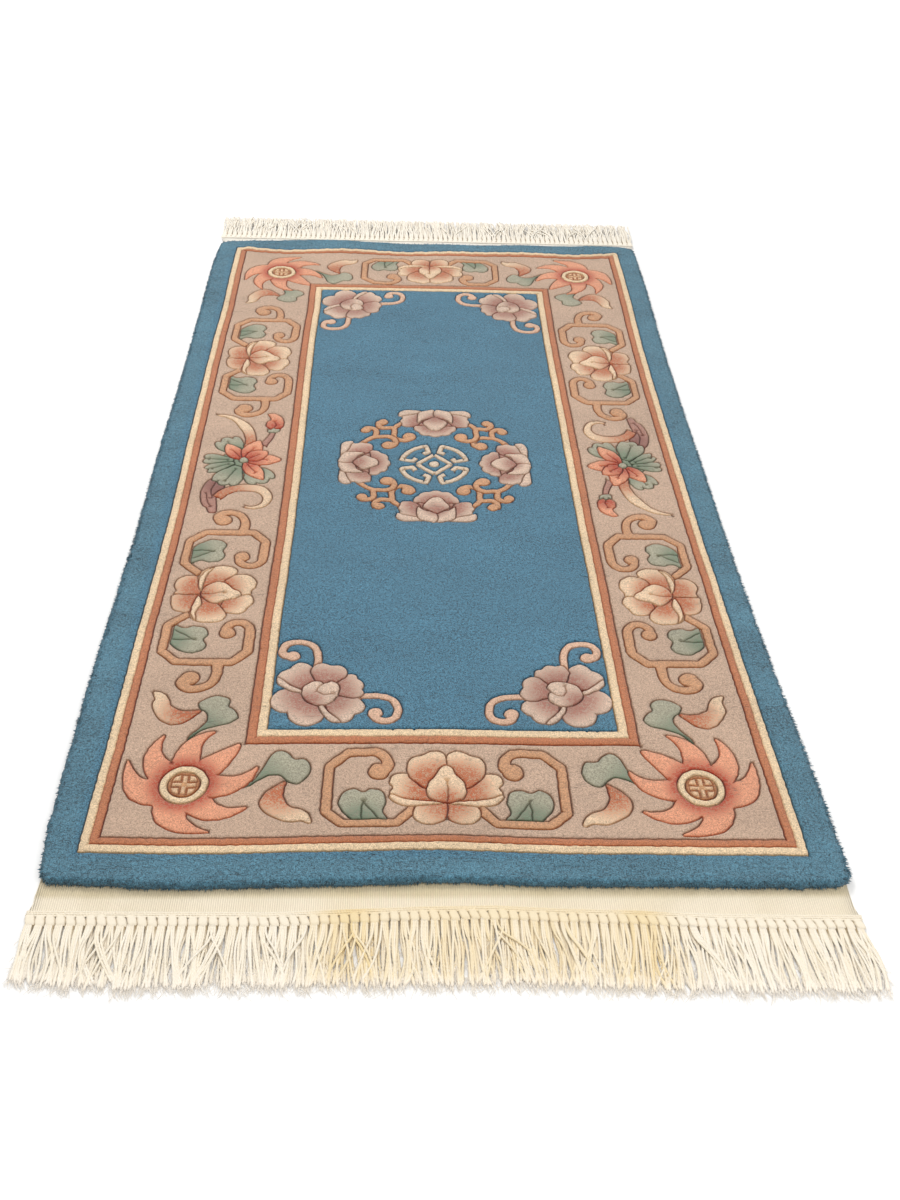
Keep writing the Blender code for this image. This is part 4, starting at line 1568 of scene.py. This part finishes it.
def build_stage():
    """White floor, soft studio lights and the camera of the photo."""
    scene = bpy.context.scene
    scene.view_settings.view_transform = "Standard"
    floor_material, tree, shader = start_material("matte white floor")
    # matte paper: to the eye an even white that takes only soft shadows
    set_shader(tree, shader, {"Base Color": (0.94, 0.94, 0.94, 1), "Roughness": 0.9})
    # away from the rug the floor glows a little, so it stays white to the back of the picture
    place = add(tree, "TexCoord", out="Object")
    away = add(tree, "VectorMath", place, operation="LENGTH", out="Value")
    glow = add(tree, "MapRange", away, 1.1, 2.2, 0.0, 0.5)
    set_shader(tree, shader, {"Emission Color": (1, 1, 1, 1), "Emission Strength": glow})
    size = 6.0
    corners = [(-size, -size, -0.0006), (size, -size, -0.0006), (size, size, -0.0006), (-size, size, -0.0006)]
    floor = new_object("floor", np.array(corners), [(0, 1, 2, 3)], floor_material, False)
    floor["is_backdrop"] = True
    world = bpy.data.worlds.new("soft white room")
    world.use_nodes = True
    world.node_tree.nodes["Background"].inputs["Color"].default_value = (1.0, 0.99, 0.97, 1)
    world.node_tree.nodes["Background"].inputs["Strength"].default_value = 0.66
    scene.world = world
    lamps = (
        ("key", (-0.8, 1.0, 2.6), 1.2, 40.0),
        ("fill", (0.9, -1.9, 2.4), 1.8, 26.0),
    )
    for name, place, wide, power in lamps:
        light = bpy.data.lights.new(name, "AREA")
        light.shape = "DISK"
        light.size = wide
        light.energy = power
        lamp = bpy.data.objects.new(name, light)
        lamp.location = place
        lamp.rotation_euler = (Vector((0, 0, 0)) - Vector(place)).to_track_quat("-Z", "Y").to_euler()
        scene.collection.objects.link(lamp)
        lamp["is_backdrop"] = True
    lens = bpy.data.cameras.new("camera")
    lens.sensor_fit = "VERTICAL"
    lens.sensor_height = 36.0
    lens.lens = CAMERA_LENS
    camera = bpy.data.objects.new("camera", lens)
    forward, right = Vector(CAMERA_FORWARD).normalized(), Vector(CAMERA_RIGHT).normalized()
    up = right.cross(forward)
    turn = Matrix((right, up, -forward)).transposed().to_4x4()
    camera.matrix_world = Matrix.Translation(CAMERA_PLACE) @ turn
    scene.collection.objects.link(camera)
    scene.camera = camera
    camera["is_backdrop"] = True


# Operators and panel


class RUG_OT_pile(bpy.types.Operator):
    """Build the carved wool pile"""

    bl_idname = "rug.pile"
    bl_label = "Pile"

    def execute(self, context):
        build_pile()
        build_rim_tufts()
        return {"FINISHED"}


class RUG_OT_ground(bpy.types.Operator):
    """Build the woven cotton ground"""

    bl_idname = "rug.ground"
    bl_label = "Ground"

    def execute(self, context):
        build_ground()
        return {"FINISHED"}


class RUG_OT_fringe(bpy.types.Operator):
    """Build the knots and yarns at both ends"""

    bl_idname = "rug.fringe"
    bl_label = "Fringe"

    def execute(self, context):
        for end, word in ((-1, "front"), (1, "back")):
            header = build_header(end, "knots_" + word)
            yarns, fibres = build_yarns(end, "yarns_" + word)
            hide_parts("fringe_" + word)
        return {"FINISHED"}


class RUG_OT_stage(bpy.types.Operator):
    """Build the floor, lights and camera"""

    bl_idname = "rug.stage"
    bl_label = "Stage"

    def execute(self, context):
        build_stage()
        return {"FINISHED"}


class RUG_PT_panel(bpy.types.Panel):
    bl_idname = "RUG_PT_panel"
    bl_label = "Carved pile rug"
    bl_space_type = "VIEW_3D"
    bl_region_type = "UI"
    bl_category = "Rug"

    def draw(self, context):
        for group in (context.scene.rug_sizes, context.scene.rug_colours):
            box = self.layout.box()
            for name in group.bl_rna.properties.keys():
                if name not in ("rna_type", "name"):
                    box.prop(group, name)
        for operator in OPERATORS:
            self.layout.operator(operator.bl_idname)


OPERATORS = (RUG_OT_ground, RUG_OT_pile, RUG_OT_fringe, RUG_OT_stage)
CLASSES = (RugSizes, RugColours, *OPERATORS, RUG_PT_panel)


def register():
    for item in CLASSES:
        bpy.utils.register_class(item)
    bpy.types.Scene.rug_sizes = bpy.props.PointerProperty(type=RugSizes)
    bpy.types.Scene.rug_colours = bpy.props.PointerProperty(type=RugColours)


def unregister():
    del bpy.types.Scene.rug_sizes
    del bpy.types.Scene.rug_colours
    for item in reversed(CLASSES):
        bpy.utils.unregister_class(item)


def main():
    register()
    bpy.ops.rug.ground()
    bpy.ops.rug.pile()
    bpy.ops.rug.fringe()
    bpy.ops.rug.stage()
    {"before": plain(SIZE_BEFORE), "after": plain(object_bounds())}


def plain(value):
    """The same bounds as plain lists."""
    if isinstance(value, (float, int, str)):
        return value
    if isinstance(value, dict):
        return {str(k): plain(v) for k, v in value.items()}
    return [plain(v) for v in value]


if __name__ == "__main__":
    main()
